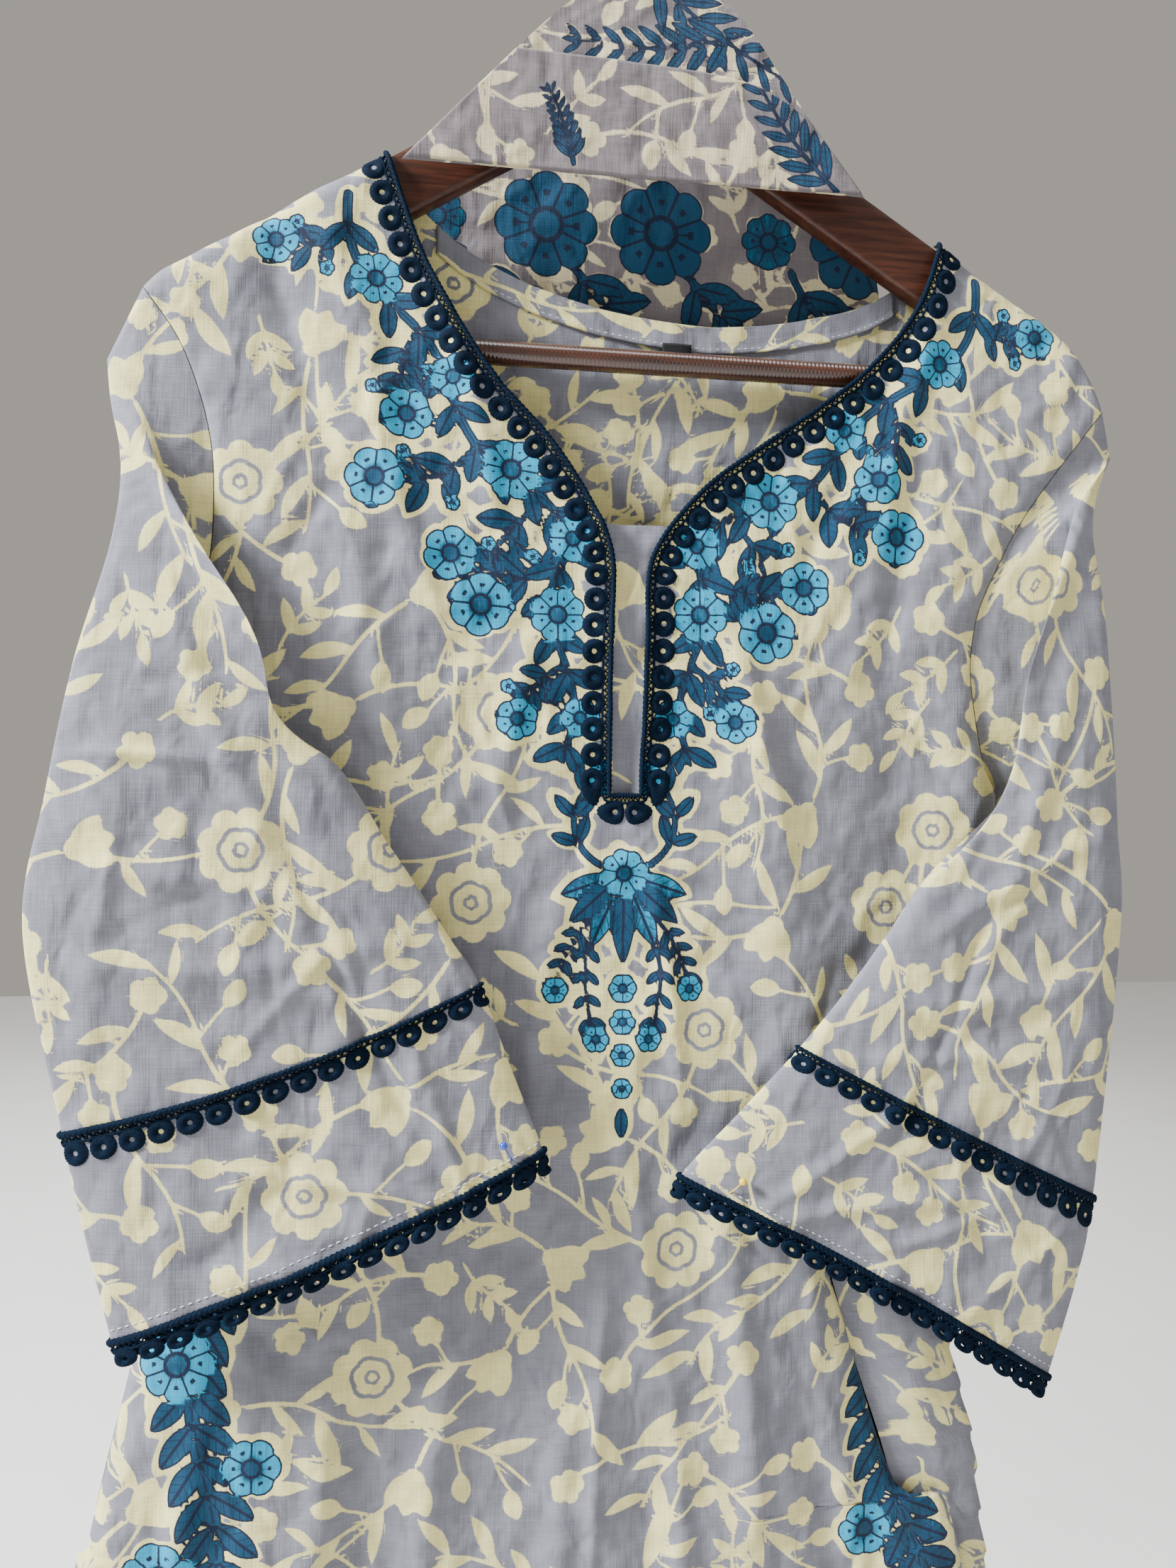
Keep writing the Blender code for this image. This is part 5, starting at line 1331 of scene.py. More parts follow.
def build_neck_facing():
    """The turned strip inside the back neck and the plain tab sewn under it."""
    x = np.linspace(BACK_NECK[1].x + 4, BACK_NECK[-2].x - 4, 140)[None, :]
    top = through(column(BACK_NECK, "x"), column(BACK_NECK, "z"), x) - FACING_DROP
    down = np.array([0, 0.3, 1, 2, 4, 6, 8, 10, 11.4, 12.1, FACING_WIDTH])[:, None]
    z = top - down
    rim = 0.55 * np.exp(-((down - 11.6) / 0.8) ** 2)
    y = back_depth(x, z) - 0.7 - rim
    flat = np.stack(np.broadcast_arrays(x + FACING_CLOTH_X, down * 1.0), -1)
    grid = points(x, y, z)
    values = body_print(flat[..., 0], flat[..., 1] + FACING_CLOTH_Z, False)
    facing = add_cloth("neck_facing_strip", grid, "back_neck_facing", flat, values)
    give_wall(facing, 0.5)
    label_top = BACK_NECK[5].z - FACING_DROP - FACING_WIDTH + 3
    x, z = np.meshgrid(
        np.linspace(LABEL_X, LABEL_X + LABEL_WIDTH, 12), label_top - np.linspace(0, LABEL_DROP + 3, 10)
    )
    y = back_depth(x, z) - 1.7 - 0.3 * np.sin((x - LABEL_X) / LABEL_WIDTH * pi)
    label = add_piece(
        "plain_tab", points(x, y, z), quads(10, 12), "black_tape", ["size_label"]
    )
    give_wall(label, 0.4)


def build_placket():
    """The strip behind the slit."""
    x, z = np.meshgrid(
        np.linspace(PLACKET_LEFT_X, PLACKET_RIGHT_X, 40), np.linspace(PLACKET_TOP_Z, PLACKET_END_Z, 90)
    )
    grid = beside_front(x, z, -1.2 - 1.6 * np.exp(-((x + 2) / 9) ** 2))
    flat = np.stack([x + PLACKET_CLOTH_X, z], -1)
    values = body_print(flat[..., 0], flat[..., 1], False)
    obj = add_cloth("slit_backing", grid, "slit_placket", flat, values)


def sleeve_grid(rows, table, seed, side, steps, spacing):
    """Rings from the armhole's loop down to the hem. The loop passes into the first ring in straight
    steps, and the rest are rows of the tube."""
    knots = np.linspace(1, 10, 2000)
    length = np.hypot(
        np.gradient(through(np.arange(1, 12), column(rows, "fold_x"), knots)),
        np.gradient(through(np.arange(1, 12), column(rows, "fold_z"), knots)),
    )
    length = np.concatenate([[0], np.cumsum(length)[1:]])
    at = np.interp(np.arange(0, length[-1], spacing), length, knots)
    at = np.concatenate([at, [10.0]])[:, None]
    front = np.linspace(0, 0.5, steps + 1)
    s = np.concatenate([front, 1 - front[-2:0:-1]])[None, :]
    tube_part = round_sleeve(rows, at, s, 0.0, table, seed)
    loop = armhole(side, steps)
    t = eased(np.linspace(0, 1, 10)[:-1], -0.2, 1.0)[:, None, None]
    t = (t - t[0]) / (1 - t[0])
    return np.concatenate([loop[None] * (1 - t) + tube_part[:1] * t, tube_part])


# Each sleeve's name, rows and creases, the seed of its crumples, and the side it hangs on.
SLEEVES = (
    ("left", SLEEVE_LEFT, SLEEVE_LEFT_CREASES, 21, -1),
    ("right", SLEEVE_RIGHT, SLEEVE_RIGHT_CREASES, 34, 1),
)
SLEEVE_COLUMNS = 132
SLEEVE_SPACING_SHARE = 0.95
SLEEVE_CLOTH_X = 2000
SLEEVE_CLOTH_APART = 600


def build_sleeve(suit, name, node, rows, table, seed, side):
    """The cloth runs from the underarm seam behind to the outer edge and back to the seam in front.
    Its flat place is (x, z) in front, and behind the same mirrored in the row's outer edge."""
    grid = sleeve_grid(rows, table, seed, side, SLEEVE_COLUMNS, suit.fine * SLEEVE_SPACING_SHARE)
    grid = np.roll(grid, -SLEEVE_COLUMNS, axis=1)
    grid = np.concatenate([grid, grid[:, :1]], axis=1)
    flat = grid[..., [0, 2]]
    outer_x = flat[:, SLEEVE_COLUMNS, :1]
    flat[:, :SLEEVE_COLUMNS, 0] = 2 * outer_x - flat[:, :SLEEVE_COLUMNS, 0]
    values = sleeve_print(flat[..., 0] + SLEEVE_CLOTH_X + SLEEVE_CLOTH_APART * side, flat[..., 1])
    obj = add_cloth(name, grid, node, flat, values, turned=side > 0)


def build_hanger():
    """Arms: a rounded bar whose top falls away from the middle and whose ends swell down into the
    lobes that hold the bar. Bar: a round one with fine grip rings. Hook: a wire on its route."""
    half_span = HANGER_HALF_SPAN
    x = half_span * np.sin(np.linspace(-pi / 2, pi / 2, 300))
    far = np.abs(x)
    rounded_end = 16 * (1 - np.sqrt(1 - np.clip((far - 194) / 15.6, 0, 1) ** 2))
    top = HANGER_TOP_Z - HANGER_FALL * np.maximum(far, 6) - rounded_end
    under = HANGER_TOP_Z - HANGER_HEIGHT - HANGER_FALL * np.maximum(far, 9) - 3.0 * np.exp(-((far / 12) ** 2))
    lobe_end = HANGER_LOBE_Z + 8 * (1 - np.sqrt(1 - np.clip((far - 201.5) / 8.1, 0, 1) ** 2))
    lobe = eased(far, BAR_HALF_LENGTH - 3, BAR_HALF_LENGTH + 5)
    under = under * (1 - lobe) + np.minimum(lobe_end, under) * lobe
    middle, half = (top + under) / 2, (top - under) / 2
    turn = np.linspace(0, 2 * pi, 44, endpoint=False)[None, :]
    flatness = 0.42
    y = HANGER_THICKNESS / 2 * np.sign(np.cos(turn)) * np.abs(np.cos(turn)) ** flatness
    z = np.sign(np.sin(turn)) * np.abs(np.sin(turn)) ** (flatness * 0.8)
    thin = np.sqrt(1 - np.clip((far - 205) / 4.6, 0, 0.98) ** 2)[:, None]
    grid = points(x[:, None], y * thin, middle[:, None] + half[:, None] * z)
    add_piece(
        "wooden_arms",
        grid,
        quads(*grid.shape[:2], closed=True, turned=True),
        "lacquered_wood",
        ["hanger_arms"],
    )
    x = np.linspace(-BAR_HALF_LENGTH, BAR_HALF_LENGTH, 1000)
    grip = 1 - eased(np.abs(x), 150, 158)
    radius = BAR_RADIUS - BAR_GRIP_DEPTH * grip * (0.5 + 0.5 * np.cos(2 * pi * x / BAR_GRIP_PITCH)) ** 2
    radius = radius * np.sqrt(np.clip(1 - ((np.abs(x) - 178) / 1.2).clip(0, 0.95) ** 2, 0, 1))
    places, faces = tube(points(x, 0, BAR_Z), radius, 22)
    add_piece("trouser_bar", places, faces, "glossy_bar", ["hanger_bar"])
    radius = HOOK_INNER_RADIUS + HOOK_WIRE_RADIUS
    join = np.array([radius * cos(HOOK_JOIN_ANGLE), -HOOK_INNER_RADIUS + radius * sin(HOOK_JOIN_ANGLE)])
    leave = np.array([0, HOOK_STEM_TOP_Z])
    heading = np.array([-sin(HOOK_JOIN_ANGLE), cos(HOOK_JOIN_ANGLE)]) * HOOK_BEND_REACH
    t = np.linspace(0, 1, 18)[1:-1, None]
    rising = t * t * (3 - 2 * t)
    bend = leave * (1 - rising) + join * rising
    bend = bend + t * (1 - t) ** 2 * np.array([0, HOOK_BEND_REACH]) + t * t * (t - 1) * heading
    angle = np.linspace(HOOK_JOIN_ANGLE, HOOK_END_ANGLE, 70)
    crown = np.stack([radius * np.cos(angle), -HOOK_INNER_RADIUS + radius * np.sin(angle)], -1)
    stem = np.stack([np.zeros(12), np.linspace(HOOK_FOOT_Z, HOOK_STEM_TOP_Z, 12)], -1)
    flat = np.concatenate([stem, bend, crown])
    tip = angle[-1] + np.array([0.01, 0.03, 0.045])
    ball = np.stack([radius * np.cos(tip), -HOOK_INNER_RADIUS + radius * np.sin(tip)], -1)
    flat = np.concatenate([flat, ball])
    width = np.concatenate([[0.05], np.full(len(flat) - 5, HOOK_WIRE_RADIUS), [HOOK_WIRE_RADIUS, 1.7, 1.2, 0.05]])
    places, faces = tube(points(flat[:, 0], 0, flat[:, 1]), width, 20)
    add_piece("steel_hook", places, faces, "plated_steel", ["hanger_hook"])


def folded_fall(rows, side, across, down, layers, folds, seed):
    """A fall as one sheet laid in layers: down the outer face, round the bottom fold and up again
    behind. Side edges ease in a little on each layer."""
    knots = np.arange(len(rows))
    at = np.linspace(0, len(rows) - 1, down)[:, None]
    t = np.linspace(0, 1, across)[None, :]
    left_x, left_z = (through(knots, column(rows, c), at) for c in ("left_x", "left_z"))
    right_x, right_z = (through(knots, column(rows, c), at) for c in ("right_x", "right_z"))
    x = left_x + (right_x - left_x) * t
    z = left_z + (right_z - left_z) * t
    depth = through(knots, column(rows, "depth"), at) + fold_depth(folds, x, z)
    worn = crumple(x, z, seed, 0.22, 40.0)
    sheets = []
    for layer in range(layers):
        inner = (1 - 2 * layer / max(layers - 1, 1)) * 0.85
        shrink = 1 - 0.012 * layer
        lift = 1.4 * layer * eased(at, len(rows) - 2, len(rows) - 1)
        grid = points(
            (left_x + right_x) / 2 + (x - (left_x + right_x) / 2) * shrink,
            side * (depth + inner + worn * (1 if layer == 0 else 0.3)),
            z + lift,
        )
        sheets.append(grid if layer % 2 == 0 else grid[::-1])
    return np.concatenate(sheets)


def build_dupatta():
    front = folded_fall(DUPATTA_FRONT, -1, 150, 90, 2, [], 5)
    flat = np.stack([front[..., 0], front[..., 2]], -1)
    values = dupatta_print(flat[..., 0], flat[..., 1], "front")
    voile = {"finish": "dupatta_voile"}
    flap = add_cloth("dupatta_flap", front, "dupatta_front", flat, values, **voile)
    across = column(DUPATTA_BAND, "across")
    t = np.linspace(0, 1, 150)[None, :]
    down = np.concatenate([np.linspace(0, 1, 48), [1.0]])[:, None]
    top_x, top_z, end_x, end_z = (
        through(across, column(DUPATTA_BAND, name), t) for name in BandPoint._fields[1:]
    )
    x = top_x + (end_x - top_x) * down
    z = top_z + (end_z - top_z) * down
    depth = through(-column(DUPATTA_FRONT, "left_z"), column(DUPATTA_FRONT, "depth"), -z) + 1.75
    depth = depth + 0.5 * crumple(x, z, 8, 0.3, 30.0)
    depth[-1] = depth[-2] - 1.2
    grid = points(x, -depth, z)
    flat = np.stack([x, z], -1)
    values = dupatta_print(flat[..., 0], flat[..., 1], "band")
    band = add_cloth("dupatta_turned_end", grid, "dupatta_front_band", flat, values, **voile)
    give_wall(band, 0.5)
    back = folded_fall(DUPATTA_BACK, 1, 84, 250, 2, DUPATTA_BACK_FOLDS, 12)
    flat = np.stack([back[..., 0], back[..., 2]], -1)
    values = dupatta_print(flat[..., 0], flat[..., 1], "back")
    behind = add_cloth("dupatta_fall", back, "dupatta_back", flat, values, turned=True, **voile)
    count = 168
    turn = np.arange(count) / count * 2 * pi
    share = np.array([-1, -1, -0.98, -0.94, -0.85, -0.7, -0.45, 0, 0.45, 0.7, 0.85, 0.94, 0.98, 1, 1])[:, None]
    size = (1 - np.abs(share) ** 6 * 0.16) * (1 - 0.075 * (1 + np.cos(14 * turn + 1.2 * share)) / 2)
    size = size * (1 - 0.015 * np.cos(33 * turn))
    size[0] *= 0.02
    size[-1] *= 0.02
    roll = points(
        ROLL_X + ROLL_HALF_WIDTH * size * np.cos(turn),
        -ROLL_HALF_DEPTH * share + 0 * size,
        ROLL_Z + ROLL_HALF_HEIGHT * size * np.sin(turn),
    )
    flat = np.stack(np.broadcast_arrays(turn * ROLL_HALF_DEPTH, share * ROLL_HALF_DEPTH), -1)
    values = dupatta_print(flat[..., 0], flat[..., 1], "roll")
    gather = add_cloth("dupatta_roll", roll, "dupatta_gather", flat, values, closed=True, **voile)


LACE_DISC_PITCH = 11.8
LACE_ROPE_AT = 1.5
LACE_NET_START = 2.6
LACE_DISC_AT = 9.1
LACE_DISC_RADIUS = 5.5
LACE_HOLE_RADIUS = 1.1
LACE_ROPE_STEP = 0.62
LACE_TWIST_PITCH = 4.6
NECK_STEPS = 1200
STITCH_PITCH = 3.4
STITCH_LENGTH = 2.1
STITCHES_ABOVE_LACE = 3.6
HEM_ROW_HEIGHT = 42.0
PIN_HEAD_RADIUS = 1.75
PIN_LENGTH = 9
PIN_SHANK_RADIUS = 0.32


def lace_strip(length, pitch):
    """The lace laid flat, in millimetres: along it, across it from the cloth's side, and up. A rope of
    two plies, two zigzag threads that cross, a fine outer cord, and a row of buttonholed rings."""
    count = max(int(round(length / pitch)), 1)
    pitch = length / count
    steps = int(length / LACE_ROPE_STEP)
    along = np.linspace(0, length, steps + 1)
    turn = np.linspace(0, 2 * pi, 10, endpoint=False)[None, :]
    twist = 2 * pi * along[:, None] / (length / round(length / LACE_TWIST_PITCH))
    plies = 1.35 * (0.62 + 0.38 * np.abs(np.cos(turn - twist)))
    rope = tube(points(along, LACE_ROPE_AT, 0.9), plies, 10, normal=(0, 0, 1))
    zigzag_steps = count * 8
    a = np.linspace(0, length, zigzag_steps + 1)
    phase = 2 * pi * a / pitch
    parts = [rope]
    for flip in (0, pi):
        swing = np.arcsin(np.sin(2 * phase + flip)) / (pi / 2)
        across = (LACE_NET_START + LACE_DISC_AT - 4.6) / 2 + 1.6 * swing
        thread = points(a, across + 0.5, 0.5 + 0.25 * np.cos(2 * phase + flip))
        parts.append(tube(thread, 0.42, 5, normal=(0, 0, 1)))
    edge = tube(points(a, LACE_DISC_AT - 4.4 + 0.25 * np.cos(phase), 0.55), 0.5, 5, normal=(0, 0, 1))
    parts.append(edge)
    ribs, samples = 22, 44
    around = np.linspace(0, 2 * pi, samples, endpoint=False)[None, :]
    across_ring = np.array([0.0, 0.2, 0.5, 0.8, 1.0])[:, None]
    radius = LACE_HOLE_RADIUS + (LACE_DISC_RADIUS - LACE_HOLE_RADIUS) * across_ring
    ribbed = 0.5 + 0.5 * np.cos(ribs * around)
    height = 0.15 + 1.15 * np.sqrt(np.clip(1 - (2 * across_ring - 1) ** 2, 0, 1)) * (0.72 + 0.28 * ribbed)
    radius = radius + 0.22 * ribbed * (across_ring == 1)
    disc = points(radius * np.cos(around), radius * np.sin(around), height)
    disc_faces = quads(*disc.shape[:2], closed=True)
    middles = (np.arange(count) + 0.5) * pitch
    for middle in middles:
        parts.append((disc + np.array([middle, LACE_DISC_AT, 0]), disc_faces))
    return joined(parts)


def neck_line(count):
    """The neckline and slit edge from the left shoulder round to the right one, evenly spaced, and how
    far along it begins, turns the slit's two lower corners and ends."""
    at = np.linspace(0.02, SLIT_END_ROW, 300)
    one = np.ones((1, 1))
    left = front_half("l", at[:, None], one)[:, 0]
    right = front_half("r", at[:, None], one)[::-1, 0]
    line = np.concatenate([left, right])[:, [0, 2]]
    length = np.concatenate([[0], np.cumsum(np.linalg.norm(np.diff(line, axis=0), axis=1))])
    even = np.linspace(0, length[-1], count + 1)
    foot = length[[0, len(left) - 1, len(left), -1]]
    return np.stack([np.interp(even, length, line[:, 0]), np.interp(even, length, line[:, 1])], -1), foot


def build_neck_lace():
    """The strip bent along the neckline: a point goes out from the line, square to it, by its place
    across the strip, and off the front by its height. Headings are smoothed, so corners stay whole."""
    line, turns = neck_line(NECK_STEPS)
    length = turns[-1]
    ahead = np.gradient(line, axis=0)
    kernel = np.hanning(27)
    kernel = kernel / kernel.sum()
    ahead = np.stack([np.convolve(np.pad(ahead[:, i], 13, mode="edge"), kernel, "valid") for i in (0, 1)], -1)
    ahead = ahead / np.linalg.norm(ahead, axis=1)[:, None]
    beside = round(turns[1] / LACE_DISC_PITCH)
    count = 2 * beside + 2
    strip, faces = lace_strip(length, length / count)
    spread = np.array([0, beside, beside + 2, count]) * length / count
    where = np.interp(strip[:, 0], spread, turns) / length * NECK_STEPS
    index = np.arange(NECK_STEPS + 1)
    at_x, at_z, head_x, head_z = (
        np.interp(where, index, value) for value in (line[:, 0], line[:, 1], ahead[:, 0], ahead[:, 1])
    )
    x = at_x + head_z * (strip[:, 1] - 0.6)
    z = at_z - head_x * (strip[:, 1] - 0.6)
    places = beside_front(x, np.minimum(z, shoulder_z(x) - 0.3), strip[:, 2] - 0.2)
    add_piece("neckline_lace", places, faces, "navy_lace_thread", ["neck_lace"])


def build_sleeve_lace(name, node, rows, start, table, seed):
    """The strip bent round a sleeve: its place along goes round the ring, its place across goes down
    the sleeve, and its height goes outwards."""
    knots = np.arange(1, len(rows) + 1)
    s = np.linspace(0, 1, 721)
    ring = round_sleeve(rows, np.full_like(s, start), s % 1.0, 0.4, table, seed)
    length = np.concatenate([[0], np.cumsum(np.linalg.norm(np.diff(ring, axis=0), axis=1))])
    strip, faces = lace_strip(length[-1], LACE_DISC_PITCH)
    at_s = np.interp(strip[:, 0], length, s) % 1.0
    steps = [
        through(knots, column(rows, name), start + 0.4) - through(knots, column(rows, name), start)
        for name in ("outer_x", "outer_z")
    ]
    row_height = np.hypot(*steps) / 0.4
    at = start + (strip[:, 1] - 0.4) / row_height
    places = round_sleeve(rows, at, at_s, strip[:, 2] + 0.1, table, seed)
    add_piece(name, places, faces, "navy_lace_thread", [node])


def add_stitches(name, line):
    """Pale running stitches along a line: short dashes, rounded at their ends."""
    length = np.concatenate([[0], np.cumsum(np.linalg.norm(np.diff(line, axis=0), axis=1))])
    parts = []
    for begin in np.arange(2.0, length[-1] - 3.0, STITCH_PITCH):
        place = np.linspace(begin, begin + STITCH_LENGTH, 5)
        route = np.stack([np.interp(place, length, line[:, axis]) for axis in range(3)], -1)
        parts.append(tube(route, np.array([0.05, 0.24, 0.3, 0.24, 0.05]), 5))
    places, faces = joined(parts)
    add_piece(name, places, faces, "pale_thread")


def build_stitches():
    """The stitches above each sleeve's hem lace, round the ring, and along the neck facing's edge."""
    s = np.linspace(0.0, 1.0, 1401)
    at = np.full_like(s, HEM_LACE_ROW - STITCHES_ABOVE_LACE / HEM_ROW_HEIGHT)
    for name, rows, table, seed, _ in SLEEVES:
        add_stitches(f"sleeve_{name}_stitches", round_sleeve(rows, at, s % 1.0, 0.12, table, seed))
    x = np.linspace(BACK_NECK[1].x + 6, BACK_NECK[-2].x - 6, 500)
    z = through(column(BACK_NECK, "x"), column(BACK_NECK, "z"), x) - FACING_DROP - FACING_WIDTH + 2.0
    add_stitches("facing_stitches", points(x, back_depth(x, z) - 1.1, z))


def build_pins():
    """Two dressing pins: a round glass head on a short shank of the same glass finish that lies on the sleeve."""
    for name, finish, x, y, z, lean in (
        ("left_pin", "blue_glass", -57.0, -36.4, -588.0, 0.5),
        ("right_pin", "yellow_glass", 48.0, -36.2, -607.0, -0.7),
    ):
        turn = np.linspace(0, pi, 14)
        head_radius = np.maximum(PIN_HEAD_RADIUS * np.sin(turn), 0.02)
        head = tube(points(x - PIN_HEAD_RADIUS * np.cos(turn), y, z), head_radius, 20, normal=(0, 0, 1))
        run = np.linspace(0, 1, 12)
        shank_x, shank_z = x + PIN_LENGTH * run * np.sin(lean), z - PIN_LENGTH * run * np.cos(lean)
        shank = tube(points(shank_x, y + 0.2 + 1.4 * run**2 * 3, shank_z), PIN_SHANK_RADIUS, 8)
        places, faces = joined([head, shank])
        add_piece(name, places, faces, finish)


def tint(name, description, value):
    return FloatVectorProperty(
        name=name, description=description, subtype="COLOR", size=3, min=0, max=1, default=value
    )


class KameezColours(bpy.types.PropertyGroup):
    ground: tint("Ground", "Cotton between the printed flowers", (0.146, 0.148, 0.174))
    ground_shade: tint("Ground, worn", "The same cotton where the dye took less", (0.180, 0.182, 0.210))
    cream: tint("Flowers", "Pale printed flowers and leaves", (0.670, 0.605, 0.270))
    cream_shade: tint("Flowers, thin", "The same print where it is thin", (0.540, 0.485, 0.222))
    teal: tint("Teal", "Light teal of the placed motifs", (0.004, 0.240, 0.400))
    deep_teal: tint("Deep teal", "Dark teal of the placed motifs", (0.001, 0.036, 0.080))
    outline: tint("Outline", "Dark outline of the placed motifs", (0.001, 0.007, 0.025))
    lace: tint("Lace", "Navy lace thread", (0.0008, 0.0035, 0.010))
    lace_light: tint("Lace, lit strands", "Strands that catch the light", (0.002, 0.010, 0.024))
    wood: tint("Wood", "Lacquered hanger wood", (0.020, 0.006, 0.003))
    wood_light: tint("Wood grain", "Paler grain lines", (0.060, 0.018, 0.009))
    dupatta: tint("Dupatta", "Voile of the dupatta", (0.150, 0.130, 0.135))
    dupatta_shade: tint("Dupatta, shaded", "Thinner places in the voile", (0.120, 0.105, 0.112))
    dupatta_cream: tint("Dupatta flowers", "Pale print on the voile", (0.480, 0.420, 0.260))


class KameezSizes(bpy.types.PropertyGroup):
    fine: FloatProperty(
        name="Fine spacing (mm)", description="Row spacing where the print is seen close", default=2.0, min=1.5
    )
    coarse: FloatProperty(
        name="Coarse spacing (mm)", description="Row spacing on the lower skirt", default=4.0, min=3.0
    )
    floor: FloatProperty(
        name="Floor height", description="Height of the studio floor", default=-1.26, unit="LENGTH"
    )
    seed: IntProperty(name="Print seed", description="Which layout the allover print takes", default=7, min=0)


def suit_sizes(context):
    return context.scene.kameez_sizes


class KAMEEZ_OT_finishes(bpy.types.Operator):
    """Make the cloth, lace, wood and metal finishes"""

    bl_idname = "kameez.finishes"
    bl_label = "Finishes"

    def execute(self, context):
        look = context.scene.kameez_colours
        grounds, pales = (look.ground, look.ground_shade), (look.cream, look.cream_shade)
        printed_cloth("printed_cotton", look, grounds, pales, 1.0, False)
        grounds = (look.dupatta, look.dupatta_shade)
        printed_cloth("dupatta_voile", look, grounds, (look.dupatta_cream, look.dupatta_cream), 1.2, True)
        lace_thread(look)
        lacquered_wood("lacquered_wood", look, 0.12)
        lacquered_wood("glossy_bar", look, 1.0)
        plated_steel()
        plain_cotton("pale_thread", ((0.62, 0.62, 0.60), (0.5, 0.5, 0.5)))
        plain_cotton("black_tape", ((0.003, 0.003, 0.004), (0.006, 0.006, 0.007)))
        for name, shade in (("blue_glass", (0.01, 0.05, 0.35, 1)), ("yellow_glass", (0.65, 0.42, 0.02, 1))):
            Finish(name, base_color=shade, roughness=0.12, coat_weight=0.6)
        return {"FINISHED"}


class KAMEEZ_OT_hanger(bpy.types.Operator):
    """Build the wooden arms, the bar and the steel hook"""

    bl_idname = "kameez.hanger"
    bl_label = "Hanger"

    def execute(self, context):
        build_hanger()
        return {"FINISHED"}


class KAMEEZ_OT_body(bpy.types.Operator):
    """Build the front, the back, the neck facing with its tab, and the slit's backing strip"""

    bl_idname = "kameez.body"
    bl_label = "Body panels"

    def execute(self, context):
        sizes = suit_sizes(context)
        build_front(sizes)
        build_back(sizes)
        build_neck_facing()
        build_placket()
        return {"FINISHED"}


class KAMEEZ_OT_sleeves(bpy.types.Operator):
    """Build both sleeves, swung in over the front, and their running stitches"""

    bl_idname = "kameez.sleeves"
    bl_label = "Sleeves"

    def execute(self, context):
        for name, *shape in SLEEVES:
            build_sleeve(suit_sizes(context), f"printed_sleeve_{name}", f"sleeve_{name}", *shape)
        build_stitches()
        return {"FINISHED"}


class KAMEEZ_OT_laces(bpy.types.Operator):
    """Build the lace along the neckline and round both sleeves"""

    bl_idname = "kameez.laces"
    bl_label = "Laces"

    def execute(self, context):
        build_neck_lace()
        for name, rows, table, seed, _ in SLEEVES:
            for place, start in (("upper", TRIM_ROW), ("hem", HEM_LACE_ROW)):
                node = f"sleeve_{name}_{place}_lace"
                build_sleeve_lace(f"{name}_{place}_lace", node, rows, start, table, seed)
        return {"FINISHED"}


class KAMEEZ_OT_dupatta(bpy.types.Operator):
    """Build the dupatta's flap, its turned end, the gathered roll and the fall behind"""

    bl_idname = "kameez.dupatta"
    bl_label = "Dupatta"

    def execute(self, context):
        build_dupatta()
        return {"FINISHED"}


class KAMEEZ_OT_pins(bpy.types.Operator):
    """Build the two dressing pins at the cuffs"""

    bl_idname = "kameez.pins"
    bl_label = "Pins"

    def execute(self, context):
        build_pins()
        return {"FINISHED"}


CAMERA_PLACE = (-0.09033, -0.51722, -0.43382)
CAMERA_YAW = radians(8)
CAMERA_ROLL = radians(0.73)
LIGHTS = (
    ("window_light", (-2.5, -0.72, 1.2), 0.7, 440.0, (0.94, 0.97, 1.0)),
    ("fill_light", (1.9, -2.2, -0.4), 2.2, 18.0, (0.95, 0.975, 1.0)),
    ("top_light", (0.2, -0.5, 1.5), 1.2, 24.0, (1.0, 1.0, 1.0)),
    ("rear_light", (0.3, 2.6, 0.4), 2.4, 34.0, (1.0, 1.0, 1.0)),
)


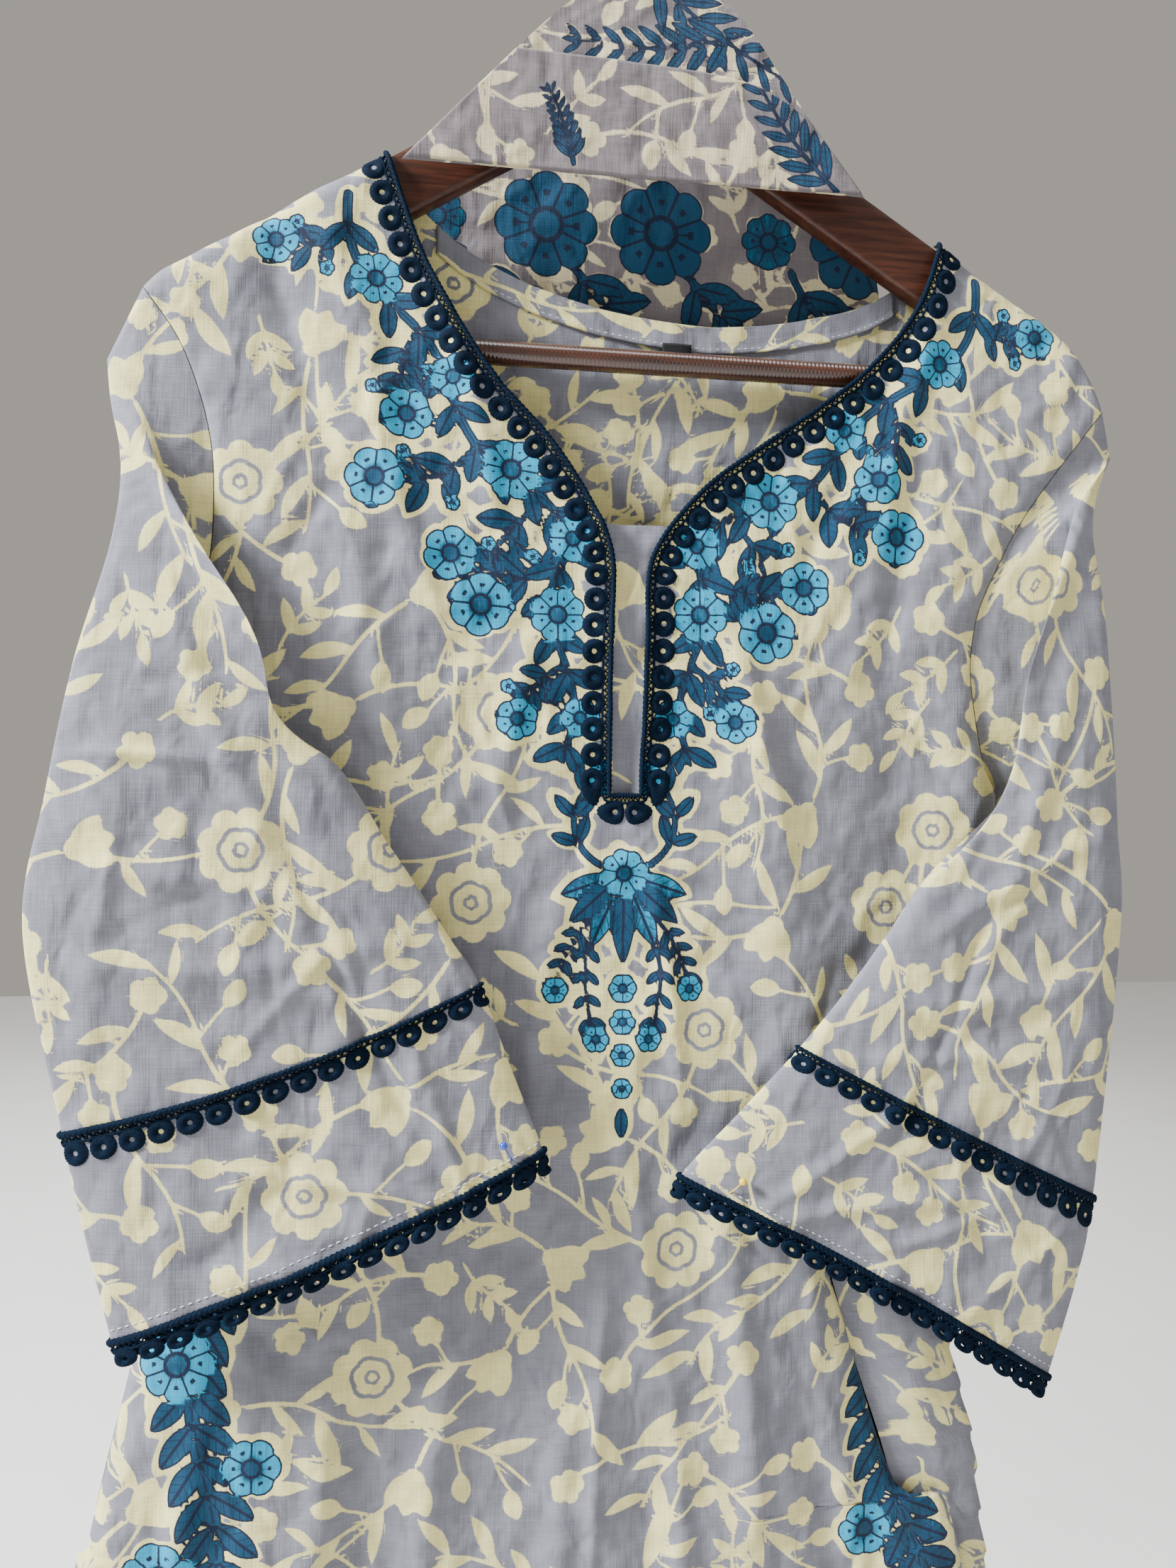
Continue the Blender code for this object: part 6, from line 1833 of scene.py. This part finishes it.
class KAMEEZ_OT_stage(bpy.types.Operator):
    """Lay the pale floor, hang the soft lights and set up the camera"""

    bl_idname = "kameez.stage"
    bl_label = "Stage, lights and camera"

    def execute(self, context):
        from mathutils import Matrix, Vector

        scene = context.scene
        span = np.linspace(-4000, 4000, 25)
        x, y = np.meshgrid(span, span)
        grid = points(x, y, scene.kameez_sizes.floor / MM)
        mesh = bpy.data.meshes.new("floor")
        faces = quads(*grid.shape[:2]).reshape(-1, 4)[:, ::-1]
        mesh.from_pydata((grid.reshape(-1, 3) * MM).tolist(), [], faces.tolist())
        made = Finish("pale_floor", roughness=0.8)
        grain = made.noise(made.place(), 9.0, 3.0)
        made.finish(base_color=made.mixed(grain, (0.74, 0.73, 0.71, 1), (0.80, 0.79, 0.77, 1)))
        mesh.materials.append(made.material)
        floor = bpy.data.objects.new("floor", mesh)
        scene.collection.objects.link(floor)
        for name, place, size, watts, shade in LIGHTS:
            lamp = bpy.data.lights.new(name, "AREA")
            lamp.shape, lamp.size, lamp.energy, lamp.color = "DISK", size, watts, shade
            holder = bpy.data.objects.new(name, lamp)
            holder.location = place
            aim = Vector((0, 0, -0.5)) - Vector(place)
            holder.rotation_euler = aim.to_track_quat("-Z", "Y").to_euler()
            scene.collection.objects.link(holder)
        world = scene.world or bpy.data.worlds.new("studio")
        scene.world = world
        world.use_nodes = True
        backdrop = world.node_tree.nodes["Background"]
        backdrop.inputs["Color"].default_value = (1.0, 0.94, 0.85, 1)
        backdrop.inputs["Strength"].default_value = 0.40
        level = Vector((cos(CAMERA_YAW), -sin(CAMERA_YAW), 0))
        ahead = Vector((sin(CAMERA_YAW), cos(CAMERA_YAW), 0))
        right = level * cos(CAMERA_ROLL) + Vector((0, 0, 1)) * sin(CAMERA_ROLL)
        up = Vector((0, 0, 1)) * cos(CAMERA_ROLL) - level * sin(CAMERA_ROLL)
        camera = bpy.data.cameras.new("camera")
        camera.lens, camera.sensor_fit, camera.sensor_height = 26.0, "VERTICAL", 36.0
        camera.clip_start = 0.01
        holder = bpy.data.objects.new("camera", camera)
        turned = Matrix((right, up, -ahead)).transposed().to_4x4()
        holder.matrix_world = Matrix.Translation(CAMERA_PLACE) @ turned
        scene.collection.objects.link(holder)
        scene.camera = holder
        return {"FINISHED"}


class KAMEEZ_PT_panel(bpy.types.Panel):
    bl_idname = "KAMEEZ_PT_panel"
    bl_label = "Kameez on a hanger"
    bl_space_type = "VIEW_3D"
    bl_region_type = "UI"
    bl_category = "Kameez"

    def draw(self, context):
        for operator in OPERATORS:
            self.layout.operator(operator.bl_idname)
        for group in (context.scene.kameez_sizes, context.scene.kameez_colours):
            for name in group.bl_rna.properties.keys():
                if name not in ("rna_type", "name"):
                    self.layout.prop(group, name)


OPERATORS = (
    KAMEEZ_OT_finishes,
    KAMEEZ_OT_hanger,
    KAMEEZ_OT_body,
    KAMEEZ_OT_sleeves,
    KAMEEZ_OT_laces,
    KAMEEZ_OT_dupatta,
    KAMEEZ_OT_pins,
    KAMEEZ_OT_stage,
)
CLASSES = (KameezColours, KameezSizes, *OPERATORS, KAMEEZ_PT_panel)


def register():
    for cls in CLASSES:
        bpy.utils.register_class(cls)
    bpy.types.Scene.kameez_colours = PointerProperty(type=KameezColours)
    bpy.types.Scene.kameez_sizes = PointerProperty(type=KameezSizes)


def unregister():
    del bpy.types.Scene.kameez_sizes
    del bpy.types.Scene.kameez_colours
    for cls in reversed(CLASSES):
        bpy.utils.unregister_class(cls)


def corners(box):
    return [[float(value) for value in corner] for corner in box]


def main():
    register()
    for operator in OPERATORS:
        group, name = operator.bl_idname.split(".")
        getattr(getattr(bpy.ops, group), name)()
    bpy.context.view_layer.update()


if __name__ == "__main__":
    main()
